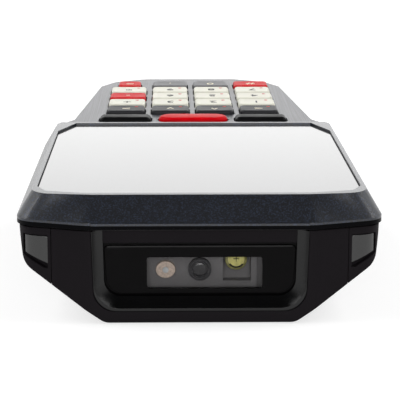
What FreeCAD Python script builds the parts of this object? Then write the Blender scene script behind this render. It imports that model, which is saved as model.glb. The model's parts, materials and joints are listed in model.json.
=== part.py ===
# Portable barcode data terminal, in millimetres.
# X runs across the terminal, Y from the scanning head (-Y) to the tail (+Y), Z up to the display.
# The origin is the middle of the back, on the surface that the terminal lies on.
import FreeCAD, Part
import os
import Sketcher
from FreeCAD import Placement, Rotation, Vector

doc = FreeCAD.newDocument("terminal")

ROWS = 5
COLUMNS = 4

SIZES = {
    # How far the cutting shapes run past the solids.
    "overrun": 4,
    # Overall forms.
    "half_width": 37.4,
    "parting": 19.7,
    "seam": 0.4,
    "skirt": 1.3,
    "cover_rise": 6.5,
    "brow_proud": 0.4,
    "brow_half": 22,
    "brow_lift": 0.3,
    "recess_room": 6.8,
    "corner_trim": 0.5,
    "corner_back": 5.2,
    "side_run": 3.6,
    "shoulder_lap": 0.5,
    "shoulder_run": 10.5,
    "waist_trim": 5,
    "tail_trim": 4.6,
    "tail_run": 15,
    "tail_corner_trim": 4,
    "tail_corner_run": 5.7,
    "tail_flat_trim": 9.3,
    "tail_margin": 13.5,
    "crest_trim": 1.5,
    "front_lean": 3.4,
    "corner_lean": 4.5,
    "side_lean": 3.1,
    "keypad_lean": 2.1,
    "tail_lean": 2,
    "cover_wall": 2.6,
    "cover_round": 5,
    # Rear housing.
    "rail_inset": 0.5,
    "wall": 2,
    "belly_half": 19,
    "chine_trim": 1.4,
    "chine_height": 11.7,
    "heel_run": 25,
    "heel_rise": 9,
    "belly_round": 1,
    "chine_round": 4,
    # Display.
    "near_rim": 1.9,
    "side_rim": 1,
    "far_rim": 1.5,
    "glass_drop": 0.5,
    "glass_thick": 1.2,
    "glass_long": 84.8,
    "glass_nose_trim": 0.3,
    "glass_corner_trim": 2.1,
    "glass_corner_run": 2.3,
    "glass_side_run": 6.8,
    "glass_taper": 3.8,
    "glass_taper_run": 11.5,
    "glass_gap": 0.15,
    "gasket_thick": 0.2,
    "gasket_width": 2.2,
    "ledge": 1,
    "lcd_side_margin": 3.9,
    "lcd_near_margin": 3.7,
    "lcd_far_margin": 2.5,
    "lcd_thick": 3.2,
    "lcd_gap": 0.2,
    "screen_side_margin": 2.4,
    "screen_end_margin": 3.3,
    # Keypad.
    "keypad_drop": 0.5,
    "function_margin": 6.6,
    "function_gap": 12.6,
    "keypad_side_margin": 5.35,
    "row_pitch": 11.4,
    "column_gap": 1.9,
    "row_gap": 2,
    "key_rise": 1.1,
    "slim_key_trim": 3.4,
    "scan_key_long": 17.7,
    "scan_key_deep": 7.7,
    "function_side_margin": 8.4,
    "side_key_deep": 6.5,
    "side_key_gap": 1.95,
    "key_gap": 0.3,
    "key_flange": 0.5,
    "key_flange_thick": 0.8,
    "key_play": 0.1,
    "key_travel": 0.5,
    "key_round": 1.2,
    "key_edge": 0.35,
    "dome_radius": 2,
    "dome_gap": 0.15,
    "dome_rise": 0.3,
    "membrane_thick": 0.5,
    "board_thick": 1,
    # Nose, scan window and engine.
    "nose_cap_margin": 6.8,
    "nose_cap_deep": 9,
    "nose_wall": 4,
    "fit_gap": 0.1,
    "nose_margin": 1,
    "frame_taper": 0.9,
    "frame_low": 2.7,
    "frame_deep": 2,
    "frame_round": 4.5,
    "frame_arm": 2.4,
    "frame_sill": 2.7,
    "window_taper": 0.6,
    "window_drop": 3.4,
    "window_round": 3,
    "bevel": 2.2,
    "pane_lap": 0.7,
    "pane_thick": 1.15,
    "light_margin": 1.8,
    "light_sill": 0.9,
    "engine_margin": 3,
    "engine_gap": 1.9,
    "engine_long": 15.2,
    "bracket_tall": 2.8,
    "engine_drop": 1.4,
    "lens_height": 10.1,
    "lens_radius": 2.35,
    "aimer_offset": 7,
    "aimer_radius": 2,
    "led_offset": 7.45,
    "led_height": 12,
    "led_radius": 2.25,
    "optic_reach": 1.2,
    "optic_deep": 2.4,
    # Side recess at each corner of the head.
    "recess_edge": 0.6,
    "recess_drop": 1.9,
    "recess_rise": 1.8,
    "recess_foot": 0.7,
    "recess_toe": 0.8,
    "recess_deep": 1.2,
    "panel_gap": 0.2,
    "panel_slot": 0.7,
    "panel_thick": 0.9,
    # Side trigger.
    "trigger_long": 24,
    "trigger_margin": 3,
    "trigger_tall": 4.1,
    "trigger_drop": 1.2,
    "trigger_proud": 0.6,
    "trigger_travel": 0.6,
    "guard_proud": 0.2,
    "guard_sink": 2,
    "guard_rim": 2.3,
    "guard_edge": 0.7,
    "trigger_gap": 0.25,
    "trigger_deep": 5,
    "trigger_flange": 0.9,
    "trigger_lip": 0.6,
    "switch_gap": 0.2,
    "switch_half": 3,
    # Inner boards and frame.
    "inner_gap": 0.4,
    "plate_drop": 0.5,
    "plate_thick": 1,
    "board_seat": 0.3,
    "board_margin": 0.7,
    "board_start": 2,
    "board_step": 6.5,
    "tail_board_margin": 5.8,
    "tail_board_run": 17,
    "can_half": 12,
    "can_long": 22,
    "can_margin": 4,
    "can_wall": 0.3,
    "cell_margin": 9.3,
    "cell_run": 18,
    "cell_radius": 5,
    "cell_thick": 2,
    "motor_margin": 5.3,
    "motor_run": 18,
    "motor_long": 12,
    "motor_radius": 2,
    "antenna_half": 15,
    "antenna_thick": 2.4,
    # Battery, its door and latch.
    "bay_margin": 2.4,
    "bay_long": 86,
    "bay_end": 4,
    "bay_wall": 1.6,
    "bay_ceiling": 11.4,
    "bay_roof": 1.6,
    "pack_gap": 0.4,
    "pack_low": 2.3,
    "contact_room": 5,
    "contact_low": 4,
    "contact_top": 8,
    "hinge_room": 5.5,
    "door_gap": 0.3,
    "door_low": 0.15,
    "door_thick": 1.7,
    "hinge_margin": 2.2,
    "hinge_root": 8,
    "pin_reach": 1,
    "hinge_height": 1.5,
    "knuckle_radius": 1.3,
    "knuckle_half": 10,
    "door_pin_radius": 0.65,
    "pin_fit": 0.05,
    "latch_half": 8,
    "latch_long": 7,
    "latch_low": 0.3,
    "latch_travel": 2.5,
    "latch_flange": 2,
    "latch_flange_thick": 1,
    "tongue_half": 6,
    "tongue_reach": 2,
    # Tail port.
    "port_margin": 3.2,
    "port_tall": 4.6,
    "port_sill": 1.4,
    "port_wall": 0.6,
    "port_long": 7,
    "port_room_long": 4,
    "port_blade_long": 5,
    "port_blade_margin": 1.8,
    "port_hole_long": 10,
    "port_block_long": 6,
    "port_block_drop": 4,
    "flap_side_lap": 2.5,
    "flap_drop": 1.7,
    "flap_rise": 2,
    "flap_thick": 1.5,
    "flap_gap": 0.3,
    "flap_pin_radius": 0.4,
    "flap_sunk": 0.2,
    # Speaker.
    "speaker_radius": 9,
    "speaker_thick": 3.5,
    "grille_half": 6,
    "grille_pitch": 2.4,
    "grille_slot": 1.2,
    # Case screws and seal.
    "screw_margin": 5.2,
    "screw_near": 16,
    "trigger_screw_gap": 9,
    "tail_screw_margin": 1.5,
    "tail_screw_run": 7.5,
    "boss_radius": 2.8,
    "screw_radius": 1,
    "drive_radius": 0.7,
    "screw_head_radius": 1.9,
    "screw_head_thick": 1.6,
    "screw_sink": 0.1,
    "screw_stop": 0.9,
    "screw_gap": 0.1,
    "seal_back": 0.6,
    "seal_width": 0.8,
    "seal_gap": 0.02,
}

# Places that follow from the sizes. Those along the terminal are distances behind the brow's front.
FOLLOWING = {
    "rim_top": "dim.parting + dim.cover_rise",
    "corner_half": "dim.half_width - dim.corner_trim",
    "side_back": "dim.corner_back + dim.side_run",
    "glass_near": "dim.brow_proud + dim.front_lean + dim.near_rim",
    "glass_far": "at.glass_near + dim.glass_long",
    "glass_half": "dim.half_width - dim.side_lean - dim.side_rim",
    "glass_nose_half": "at.nose_half - dim.glass_nose_trim",
    "glass_corner_half": "at.glass_half - dim.glass_corner_trim",
    "glass_far_half": "at.glass_half - dim.glass_taper",
    "glass_taper_back": "at.glass_far - dim.glass_taper_run",
    "lcd_half": "at.glass_half - dim.lcd_side_margin",
    "lcd_near": "at.glass_near + dim.lcd_near_margin",
    "lcd_far": "at.glass_far - dim.lcd_far_margin",
    "screen_half": "at.lcd_half - dim.screen_side_margin",
    "screen_near": "at.lcd_near + dim.screen_end_margin",
    "screen_far": "at.lcd_far - dim.screen_end_margin",
    "keypad_back": "at.glass_far + dim.far_rim",
    "function_back": "at.keypad_back + dim.function_margin",
    "first_row": "at.function_back + dim.function_gap",
    "key_deep": "dim.row_pitch - dim.row_gap",
    "body_length": f"at.first_row + {ROWS - 1} * dim.row_pitch + at.key_deep / 2 + dim.tail_margin",
    "shoulder_back": "at.glass_far - dim.shoulder_lap",
    "waist_back": "at.shoulder_back + dim.shoulder_run",
    "waist_half": "dim.half_width - dim.waist_trim",
    "tail_half": "at.waist_half - dim.tail_trim",
    "column_pitch": "(at.tail_half - dim.keypad_side_margin + dim.column_gap / 2) / 2",
    "key_long": "at.column_pitch - dim.column_gap",
    "slim_key_long": "at.key_long - dim.slim_key_trim",
    "function_far": "at.waist_half - dim.function_side_margin",
    "side_key_long": "at.function_far - dim.scan_key_long / 2 - dim.side_key_gap",
    "side_key_offset": "at.function_far - at.side_key_long / 2",
    "tail_corner_half": "at.tail_half - dim.tail_corner_trim",
    "tail_flat_half": "at.tail_corner_half - dim.tail_flat_trim",
    "chine_half": "dim.half_width - dim.chine_trim",
    "nose_cap_half": "at.corner_half - dim.recess_room",
    "nose_half": "at.nose_cap_half - dim.nose_cap_margin",
    "frame_top_half": "at.nose_half - dim.nose_margin",
    "frame_low_half": "at.frame_top_half - dim.frame_taper",
    "window_top_half": "at.frame_top_half - dim.frame_arm",
    "window_low_half": "at.window_top_half - dim.window_taper",
    "window_low": "dim.frame_low + dim.frame_sill",
    "window_top": "dim.parting - dim.window_drop",
    "light_half": "at.window_low_half - dim.light_margin",
    "light_low": "at.window_low + dim.light_sill",
    "light_top": "at.window_top - dim.light_sill",
    "engine_half": "at.light_half - dim.engine_margin",
    "engine_near": "dim.brow_proud + dim.rail_inset + dim.nose_wall + dim.engine_gap",
    "engine_far": "at.engine_near + dim.engine_long",
    "engine_low": "dim.wall + dim.bracket_tall",
    "engine_top": "dim.parting - dim.plate_drop - dim.plate_thick - dim.engine_drop",
    "recess_offset": "(at.nose_cap_half + at.corner_half) / 2",
    "recess_half": "(at.corner_half - at.nose_cap_half) / 2 - dim.recess_edge",
    "recess_top": "dim.parting - dim.recess_drop",
    "recess_outer_low": "dim.chine_height + dim.recess_rise",
    "recess_low": "dim.chine_height - dim.recess_foot",
    "trigger_far": "at.shoulder_back - dim.trigger_margin",
    "trigger_near": "at.trigger_far - dim.trigger_long",
    "trigger_top": "dim.parting - dim.trigger_drop",
    "trigger_low": "at.trigger_top - dim.trigger_tall",
    "trigger_face": "dim.half_width + dim.trigger_proud",
    "trigger_back": "dim.half_width - dim.trigger_deep",
    "guard_face": "dim.half_width + dim.guard_proud",
    "guard_seat": "dim.half_width - dim.guard_sink",
    "tail_screw_offset": "at.tail_flat_half - dim.tail_screw_margin",
    "screw_offset": "dim.half_width - dim.screw_margin",
    "screw_middle": "at.trigger_near - dim.trigger_screw_gap",
    "screw_head_low": "dim.chine_height + dim.screw_sink",
    "main_board_half": "at.screw_offset - dim.boss_radius - dim.board_margin",
    "main_board_tail_half": "at.tail_half - dim.tail_board_margin",
    "main_board_near": "at.engine_far + dim.board_start",
    "main_board_step": "at.waist_back - dim.board_step",
    "main_board_far": "at.body_length - dim.tail_board_run",
    "can_far": "at.main_board_step - dim.can_margin",
    "can_near": "at.can_far - dim.can_long",
    "cell_offset": "at.main_board_half - dim.cell_margin",
    "cell_back": "at.main_board_near + dim.cell_run",
    "motor_offset": "at.main_board_half - dim.motor_margin",
    "motor_back": "at.main_board_step - dim.motor_run",
    "bay_half": "dim.belly_half - dim.bay_margin",
    "bay_far": "at.body_length - dim.heel_run - dim.bay_end",
    "bay_near": "at.bay_far - dim.bay_long",
    "pack_near": "at.bay_near + dim.contact_room",
    "pack_far": "at.bay_far - dim.hinge_room",
    "hinge_back": "at.bay_far - dim.hinge_margin",
    "latch_near": "at.bay_near - dim.latch_long",
    "speaker_back": "(at.engine_far + at.latch_near - dim.latch_travel) / 2",
    "port_half": "at.tail_screw_offset - dim.boss_radius - dim.port_margin",
    "flap_half": "at.port_half + dim.flap_side_lap",
    "flap_pivot": "dim.heel_rise + dim.flap_rise",
    "flap_top": "dim.parting - dim.flap_drop",
    "port_low": "at.flap_pivot + dim.port_sill",
    "port_top": "at.port_low + dim.port_tall",
}

sheet = doc.addObject("Spreadsheet::Sheet", "dim")
for line, (alias, value) in enumerate(SIZES.items(), start=1):
    sheet.set(f"A{line}", alias.replace("_", " "))
    sheet.set(f"B{line}", str(value))
    sheet.setAlias(f"B{line}", alias)
places = doc.addObject("App::VarSet", "at")
for name in FOLLOWING:
    places.addProperty("App::PropertyFloat", name, "Places")
for name, formula in FOLLOWING.items():
    places.setExpression(name, formula)
doc.recompute()

ALONG = {"top": Vector(0, 0, 1), "front": Vector(0, 1, 0), "side": Vector(1, 0, 0)}
FACING = {
    "top": Rotation(),
    "front": Rotation(Vector(1, 0, 0), 90),
    "side": Rotation(Vector(1, 1, 1), 120),
}
LEVEL = {"top": "z", "front": "y", "side": "x"}
NODES = []


def number(formula):
    """The present value of a formula in the sheet's aliases."""
    return float(sheet.evalExpression(formula))


def back(formula):
    """The Y of a place given by its distance behind the front of the brow."""
    return f"{formula} - at.body_length / 2"


def between(near, far):
    """The pair of Y places of two distances behind the front of the brow."""
    return (back(near), back(far))


def node(label, thing):
    """Give the finished sub-part its name and keep it for export."""
    thing.Label = label
    NODES.append(thing)
    return thing


def draw(sketch, points):
    """Draw a closed outline whose every corner is held by the sheet's sizes."""
    corners = [Vector(number(x), number(y), 0) for x, y in points]
    lines = [
        Part.LineSegment(corner, corners[(place + 1) % len(corners)])
        for place, corner in enumerate(corners)
    ]
    sketch.addGeometry(lines, False)
    for place, (x, y) in enumerate(points):
        following = (place + 1) % len(points)
        sketch.addConstraint(Sketcher.Constraint("Coincident", place, 2, following, 1))
        for kind, formula in (("DistanceX", x), ("DistanceY", y)):
            held = Sketcher.Constraint(kind, -1, 1, place, 1, number(formula))
            index = sketch.addConstraint(held)
            sketch.setExpression(f"Constraints[{index}]", formula)
    return sketch


def outline(name, view, points, level="0"):
    """A loose outline seen from the top, front or side, at one level along that view."""
    sketch = doc.addObject("Sketcher::SketchObject", name)
    sketch.Placement = Placement(Vector(), FACING[view])
    sketch.setExpression(f"Placement.Base.{LEVEL[view]}", level)
    return draw(sketch, points)


def mirrored(points):
    """Both halves of an outline that is the same on either side of the middle."""
    return points + [(f"-({x})", y) for x, y in reversed(points)]


def extrude(name, view, source, length):
    """A straight solid of an outline, from its own level onwards."""
    solid = doc.addObject("Part::Extrusion", name)
    solid.Base = source
    solid.DirMode = "Custom"
    solid.Dir = ALONG[view]
    solid.Solid = True
    solid.setExpression("LengthFwd", length)
    return solid


def prism(name, view, points, start, end):
    """A straight solid of a polygon between two levels."""
    drawn = outline(name + "_outline", view, points, start)
    return extrude(name, view, drawn, f"({end}) - ({start})")


def inset(name, source, amount):
    """The same outline moved inwards by an even amount."""
    smaller = doc.addObject("Part::Offset2D", name)
    smaller.Source = source
    smaller.Join = "Intersection"
    smaller.setExpression("Value", f"-({amount})")
    return smaller


def softened(name, source, radius):
    """The same outline with every outward corner made round: moved in, then out again."""
    grown = doc.addObject("Part::Offset2D", name)
    grown.Source = inset(name + "_inner", source, radius)
    grown.Join = "Arc"
    grown.setExpression("Value", radius)
    return grown


def block(name, x, y, z):
    """A box between two places along each axis, each a pair of formulas."""
    solid = doc.addObject("Part::Box", name)
    for (low, high), side, axis in zip((x, y, z), ("Length", "Width", "Height"), "xyz"):
        solid.setExpression(f"Placement.Base.{axis}", low)
        solid.setExpression(side, f"({high}) - ({low})")
    return solid


def across(half):
    """The pair of places of a width that is centred on the middle."""
    return (f"-({half})", half)


def rod(name, axis, centre, radius, start, end):
    """A round rod along an axis; centre gives the two other places in X, Y, Z order."""
    solid = doc.addObject("Part::Cylinder", name)
    turns = {"x": Rotation(Vector(0, 1, 0), 90), "y": Rotation(Vector(1, 0, 0), -90), "z": Rotation()}
    solid.Placement = Placement(Vector(), turns[axis])
    others = [letter for letter in "xyz" if letter != axis]
    for letter, formula in zip(others, centre):
        solid.setExpression(f"Placement.Base.{letter}", formula)
    solid.setExpression(f"Placement.Base.{axis}", start)
    solid.setExpression("Radius", radius)
    solid.setExpression("Height", f"({end}) - ({start})")
    return solid


def fuse(name, *solids):
    """Several solids made one."""
    whole = doc.addObject("Part::MultiFuse", name)
    whole.Shapes = list(solids)
    return whole


def common(name, *solids):
    """What several solids share."""
    shared = doc.addObject("Part::MultiCommon", name)
    shared.Shapes = list(solids)
    return shared


def cut(name, base, *tools):
    """A solid with others taken out of it."""
    rest = doc.addObject("Part::Cut", name)
    rest.Base = base
    rest.Tool = tools[0] if len(tools) == 1 else fuse(name + "_tools", *tools)
    return rest


def group(name, *solids):
    """Separate solids kept as one sub-part."""
    together = doc.addObject("Part::Compound", name)
    together.Links = list(solids)
    return together


def rounded(name, base, radius, chosen):
    """Round the edges that a rule picks; the rule is given each edge's two end points."""
    base.recompute(True)
    edges = []
    for index, edge in enumerate(base.Shape.Edges, start=1):
        ends = [vertex.Point for vertex in edge.Vertexes]
        if len(ends) == 2 and chosen(*ends):
            edges.append((index, number(radius), number(radius)))
    smooth = doc.addObject("Part::Fillet", name)
    smooth.Base = base
    smooth.Edges = edges
    return smooth


def padded(body, name, view, points, start, end):
    """A pad in a body: an outline on the body's own plane, pulled from one level to another."""
    roles = {"top": "XY_Plane", "front": "XZ_Plane", "side": "YZ_Plane"}
    plane = next(each for each in body.Origin.OriginFeatures if each.Role == roles[view])
    sketch = body.newObject("Sketcher::SketchObject", name + "_sketch")
    sketch.AttachmentSupport = [(plane, "")]
    sketch.MapMode = "FlatFace"
    sign = "-" if view == "front" else ""
    sketch.setExpression("AttachmentOffset.Base.z", f"{sign}({start})")
    draw(sketch, points)
    pad = body.newObject("PartDesign::Pad", name)
    pad.Profile = sketch
    pad.Reversed = view == "front"
    pad.setExpression("Length", f"({end}) - ({start})")
    return pad


def eased(body, name, feature, radius, chosen):
    """Round the edges of a body's last feature that a rule picks."""
    feature.recompute(True)
    edges = []
    for index, edge in enumerate(feature.Shape.Edges, start=1):
        ends = [vertex.Point for vertex in edge.Vertexes]
        if len(ends) == 2 and chosen(*ends):
            edges.append(f"Edge{index}")
    fillet = body.newObject("PartDesign::Fillet", name)
    fillet.Base = (feature, edges)
    fillet.setExpression("Radius", radius)
    return fillet


def plate(label, view, points, start, end):
    """A flat sub-part of one outline."""
    body = doc.addObject("PartDesign::Body", label + "_body")
    padded(body, label + "_pad", view, points, start, end)
    return node(label, body)


def rectangle(x, y):
    """The four corners of a rectangle between two places along each direction."""
    return [(x[0], y[0]), (x[1], y[0]), (x[1], y[1]), (x[0], y[1])]


def upright(first, second):
    """Whether an edge stands straight up."""
    return abs(first.x - second.x) < 1e-4 and abs(first.y - second.y) < 1e-4


MIDDLE = "0"
HALF_OUTLINE = [
    ("at.nose_half", back("dim.brow_proud")),
    ("at.corner_half", back("dim.corner_back")),
    ("dim.half_width", back("at.side_back")),
    ("dim.half_width", back("at.shoulder_back")),
    ("at.waist_half", back("at.waist_back")),
    ("at.tail_half", "at.body_length / 2 - dim.tail_run"),
    ("at.tail_corner_half", "at.body_length / 2 - dim.tail_corner_run"),
    ("at.tail_flat_half", "at.body_length / 2"),
]
TOP_HALF_OUTLINE = [
    ("at.nose_half - dim.crest_trim", back("dim.brow_proud + dim.front_lean")),
    ("at.corner_half - dim.corner_lean", back("dim.corner_back")),
    ("dim.half_width - dim.side_lean", back("at.side_back")),
    ("dim.half_width - dim.side_lean", back("at.shoulder_back")),
    ("at.waist_half - dim.keypad_lean", back("at.waist_back - dim.tail_lean")),
    ("at.tail_half - dim.keypad_lean", "at.body_length / 2 - dim.tail_run - dim.tail_lean"),
    (
        "at.tail_corner_half - dim.keypad_lean",
        "at.body_length / 2 - dim.tail_corner_run - dim.tail_lean",
    ),
    ("at.tail_flat_half - dim.crest_trim", "at.body_length / 2 - dim.tail_lean"),
]
GLASS_SEAT = "at.rim_top - dim.glass_drop - dim.glass_thick - dim.gasket_thick"
LEDGE_LOW = "at.rim_top - dim.glass_drop - dim.glass_thick - dim.gasket_thick - dim.ledge"
KEYPAD_TOP = "at.rim_top - dim.keypad_drop"
SCREW_TOP = f"{LEDGE_LOW} - dim.screw_stop"
HOUSING_TOP = "dim.parting - dim.seam"
ABOVE = "at.rim_top + dim.overrun"
BELOW = "-dim.overrun"
BEFORE = back("-dim.overrun")
BEHIND = "at.body_length / 2 + dim.overrun"
BESIDE = "dim.half_width + dim.overrun"
KEY_LOW = f"{LEDGE_LOW} - dim.key_play - dim.key_flange_thick"
DOME_TOP = f"{KEY_LOW} - dim.key_travel - dim.dome_gap"
MEMBRANE_TOP = f"{DOME_TOP} - dim.dome_rise"
BOARD_TOP = f"{MEMBRANE_TOP} - dim.membrane_thick - dim.fit_gap"
PLATE_LOW = "dim.parting - dim.plate_drop - dim.plate_thick"
ROOF_TOP = "dim.bay_ceiling + dim.bay_roof"
MAIN_TOP = f"{ROOF_TOP} + dim.board_seat + dim.board_thick"

FLAP_AXIS = "at.body_length / 2 - dim.rail_inset - dim.flap_sunk - dim.flap_thick / 2"
NOSE_FRONT = back("dim.brow_proud + dim.rail_inset")
FRAME_BACK = back("dim.brow_proud + dim.rail_inset + dim.frame_deep")
PANE_FRONT = back("dim.brow_proud + dim.rail_inset + dim.frame_deep + dim.pin_fit")
PANE_BACK = back("dim.brow_proud + dim.rail_inset + dim.frame_deep + dim.pin_fit + dim.pane_thick")
WALL_BACK = back("dim.brow_proud + dim.rail_inset + dim.nose_wall")
NOSE_BACK = back("dim.nose_cap_deep")

SCREW_PLACES = [
    (side + offset, place)
    for offset, place in (
        ("at.screw_offset", back("dim.screw_near")),
        ("at.screw_offset", back("at.screw_middle")),
        ("at.tail_screw_offset", "at.body_length / 2 - dim.tail_screw_run"),
    )
    for side in ("", "-")
]

plan_corners = outline("plan_corners", "top", mirrored(HALF_OUTLINE), "dim.parting")
plan = softened("plan", plan_corners, "dim.cover_round")


def key_list():
    """Every key: its label, place, size and whether its ends are fully round."""
    keys = [
        ("scan_key", MIDDLE, back("at.function_back"), "dim.scan_key_long", "dim.scan_key_deep"),
    ]
    for label, sign in (("left_function_key", "-"), ("right_function_key", "")):
        place = f"{sign}at.side_key_offset"
        size = ("at.side_key_long", "dim.side_key_deep")
        keys.append((label, place, back("at.function_back"), *size))
    for row in range(ROWS):
        place = back(f"at.first_row + {row} * dim.row_pitch")
        for column in range(COLUMNS):
            slim = row == ROWS - 1 and column == 0
            long = "at.slim_key_long" if slim else "at.key_long"
            label = f"key_row_{row + 1}_column_{column + 1}"
            across_place = f"{column - (COLUMNS - 1) / 2} * at.column_pitch"
            keys.append((label, across_place, place, long, "at.key_deep"))
    return keys


def key_outline(x, y, long, deep, margin):
    """The rectangle of one key, widened by a margin."""
    wide = f"(({long}) / 2 + ({margin}))"
    tall = f"(({deep}) / 2 + ({margin}))"
    return rectangle((f"{x} - {wide}", f"{x} + {wide}"), (f"{y} - {tall}", f"{y} + {tall}"))


def key_tools(name, keys, margin, radius):
    """Upright blocks through the cover for a set of keys, with their corners rounded."""
    blocks = []
    for label, x, y, long, deep in keys:
        corners = key_outline(x, y, long, deep, margin)
        spans = (corners[0][0], corners[1][0]), (corners[0][1], corners[2][1])
        blocks.append(block(f"{name}_{label}", *spans, (f"{LEDGE_LOW} - dim.ledge", ABOVE)))
    whole = blocks[0] if len(blocks) == 1 else fuse(name, *blocks)
    return rounded(name + "_rounded", whole, radius, upright)


def glass_outline(name, level):
    """The outline of the display glass, with its four corners cut back."""
    points = [
        ("at.glass_nose_half", back("at.glass_near")),
        ("at.glass_corner_half", back("at.glass_near + dim.glass_corner_run")),
        ("at.glass_half", back("at.glass_near + dim.glass_side_run")),
        ("at.glass_half", back("at.glass_taper_back")),
        ("at.glass_far_half", back("at.glass_far")),
    ]
    return outline(name, "top", mirrored(points), level)


def cover_form():
    """The outside of the front cover: skirt, sloping facets, rim and the lower keypad panel."""
    skirt = outline("skirt_outline", "top", mirrored(HALF_OUTLINE), "dim.parting + dim.skirt")
    crest = outline("crest_outline", "top", mirrored(TOP_HALF_OUTLINE), "at.rim_top")
    form = doc.addObject("Part::Loft", "cover_form")
    form.Sections = [
        plan,
        softened("skirt_line", skirt, "dim.cover_round"),
        softened("crest_line", crest, "dim.cover_round"),
    ]
    form.Solid = True
    form.Ruled = True
    step = [
        (back("at.keypad_back"), ABOVE),
        (back("at.keypad_back"), "at.rim_top"),
        (back("at.keypad_back + 2 * dim.keypad_drop"), KEYPAD_TOP),
        (BEHIND, KEYPAD_TOP),
        (BEHIND, ABOVE),
    ]
    lowered = prism("keypad_step", "side", step, "-at.body_length / 2", "at.body_length / 2")
    brow = block(
        "brow",
        across("dim.brow_half"),
        (back(MIDDLE), back("2 * dim.brow_proud")),
        ("dim.parting + dim.brow_lift", "dim.parting + dim.skirt"),
    )
    return fuse("cover_outside", cut("cover_stepped", form, lowered), brow)


def front_cover():
    """The display and keypad cover."""
    hollow_plan = inset("cover_hollow_outline", plan, "dim.cover_wall")
    hollow = extrude("cover_hollow_tall", "top", hollow_plan, f"{LEDGE_LOW} - dim.parting")
    seat = inset("glass_seat_outline", glass_outline("glass_hole", GLASS_SEAT), "-dim.glass_gap")
    recess = extrude("glass_recess", "top", seat, f"{ABOVE} - dim.parting")
    screen = block(
        "screen_hole",
        across("at.screen_half"),
        (back("at.screen_near"), back("at.screen_far")),
        ("dim.parting", ABOVE),
    )
    keys = key_list()
    holes = [
        key_tools("scan_hole", keys[:1], "dim.key_gap", "dim.scan_key_deep / 2"),
        key_tools("key_holes", keys[1:], "dim.key_gap", "dim.key_round + dim.key_gap"),
    ]
    bosses = []
    bores = []
    for place, (x, y) in enumerate(SCREW_PLACES):
        low = "dim.parting + dim.fit_gap"
        name = f"cover_boss_{place}"
        bosses.append(rod(name, "z", (x, y), "dim.boss_radius", low, f"{LEDGE_LOW} + dim.fit_gap"))
        bore = "dim.screw_radius + dim.pin_fit"
        bores.append(rod(name + "_bore", "z", (x, y), bore, "dim.parting", f"{SCREW_TOP} + dim.screw_gap"))
    shell = cut("cover_opened", cover_form(), hollow)
    whole = fuse("cover_with_posts", shell, *bosses)
    node("front_cover", cut("cover_finished", whole, recess, screen, *holes, *bores))


def display():
    """The glass, the gasket that it lies on and the display module below the ledge."""
    glass = glass_outline("glass_outline", f"{GLASS_SEAT} + dim.gasket_thick")
    node("display_glass", extrude("glass_solid", "top", glass, "dim.glass_thick"))
    edge = glass_outline("gasket_outline", GLASS_SEAT)
    whole = extrude("gasket_whole", "top", edge, "dim.gasket_thick")
    inner = inset("gasket_inner_outline", edge, "dim.gasket_width")
    hole = extrude("gasket_hole", "top", inner, "dim.glass_thick")
    node("display_gasket", cut("gasket_ring", whole, hole))
    area = rectangle(across("at.lcd_half"), between("at.lcd_near", "at.lcd_far"))
    high = f"{LEDGE_LOW} - dim.lcd_gap"
    plate("lcd_module", "top", area, f"{high} - dim.lcd_thick", high)


def keys():
    """The keys: each a cap above a flange that the cover holds down."""
    for label, x, y, long, deep in key_list():
        body = doc.addObject("PartDesign::Body", label + "_body")
        cap = padded(
            body, label + "_cap", "top", key_outline(x, y, long, deep, MIDDLE),
            KEY_LOW, f"{KEYPAD_TOP} + dim.key_rise",
        )
        round_ends = label == "scan_key"
        radius = "dim.scan_key_deep / 2 - dim.dome_gap" if round_ends else "dim.key_round"
        corners = eased(body, label + "_corners", cap, radius, upright)
        level = number(f"{KEYPAD_TOP} + dim.key_rise") - 1e-4

        def on_top(first, second, level=level):
            return min(first.z, second.z) > level

        eased(body, label + "_edge", corners, "dim.key_edge", on_top)
        padded(
            body, label + "_flange", "top", key_outline(x, y, long, deep, "dim.key_flange"),
            KEY_LOW, f"{KEY_LOW} + dim.key_flange_thick",
        )
        node(label, body)


def keypad_layers():
    """The rubber sheet with a dome below each key, and the keypad board under it."""
    edge = inset("membrane_outline", plan, "dim.cover_wall + dim.inner_gap")
    area = block(
        "keypad_area",
        across("dim.half_width"),
        (back("at.keypad_back + dim.fit_gap"), BEHIND),
        ("dim.parting", "at.rim_top"),
    )
    around = "dim.boss_radius + dim.inner_gap"
    posts = [
        rod(f"membrane_post_{place}", "z", spot, around, "dim.parting", "at.rim_top")
        for place, spot in enumerate(SCREW_PLACES[4:])
    ]
    space = cut("keypad_space", area, *posts)
    levels = {
        "membrane": (f"{MEMBRANE_TOP} - dim.membrane_thick", "dim.membrane_thick"),
        "keypad_board": (f"{BOARD_TOP} - dim.board_thick", "dim.board_thick"),
    }
    sheets = {}
    for name, (low, thick) in levels.items():
        slab = extrude(name + "_slab", "top", edge, thick)
        slab.setExpression("Placement.Base.z", f"{low} - dim.parting")
        sheets[name] = common(name + "_sheet", slab, space)
    domes = [
        rod(f"dome_{label}", "z", (x, y), "dim.dome_radius", f"{MEMBRANE_TOP} - dim.dome_gap", DOME_TOP)
        for label, x, y, long, deep in key_list()
    ]
    node("keypad_membrane", fuse("membrane_domed", sheets["membrane"], *domes))
    node("keypad_board", sheets["keypad_board"])


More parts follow.
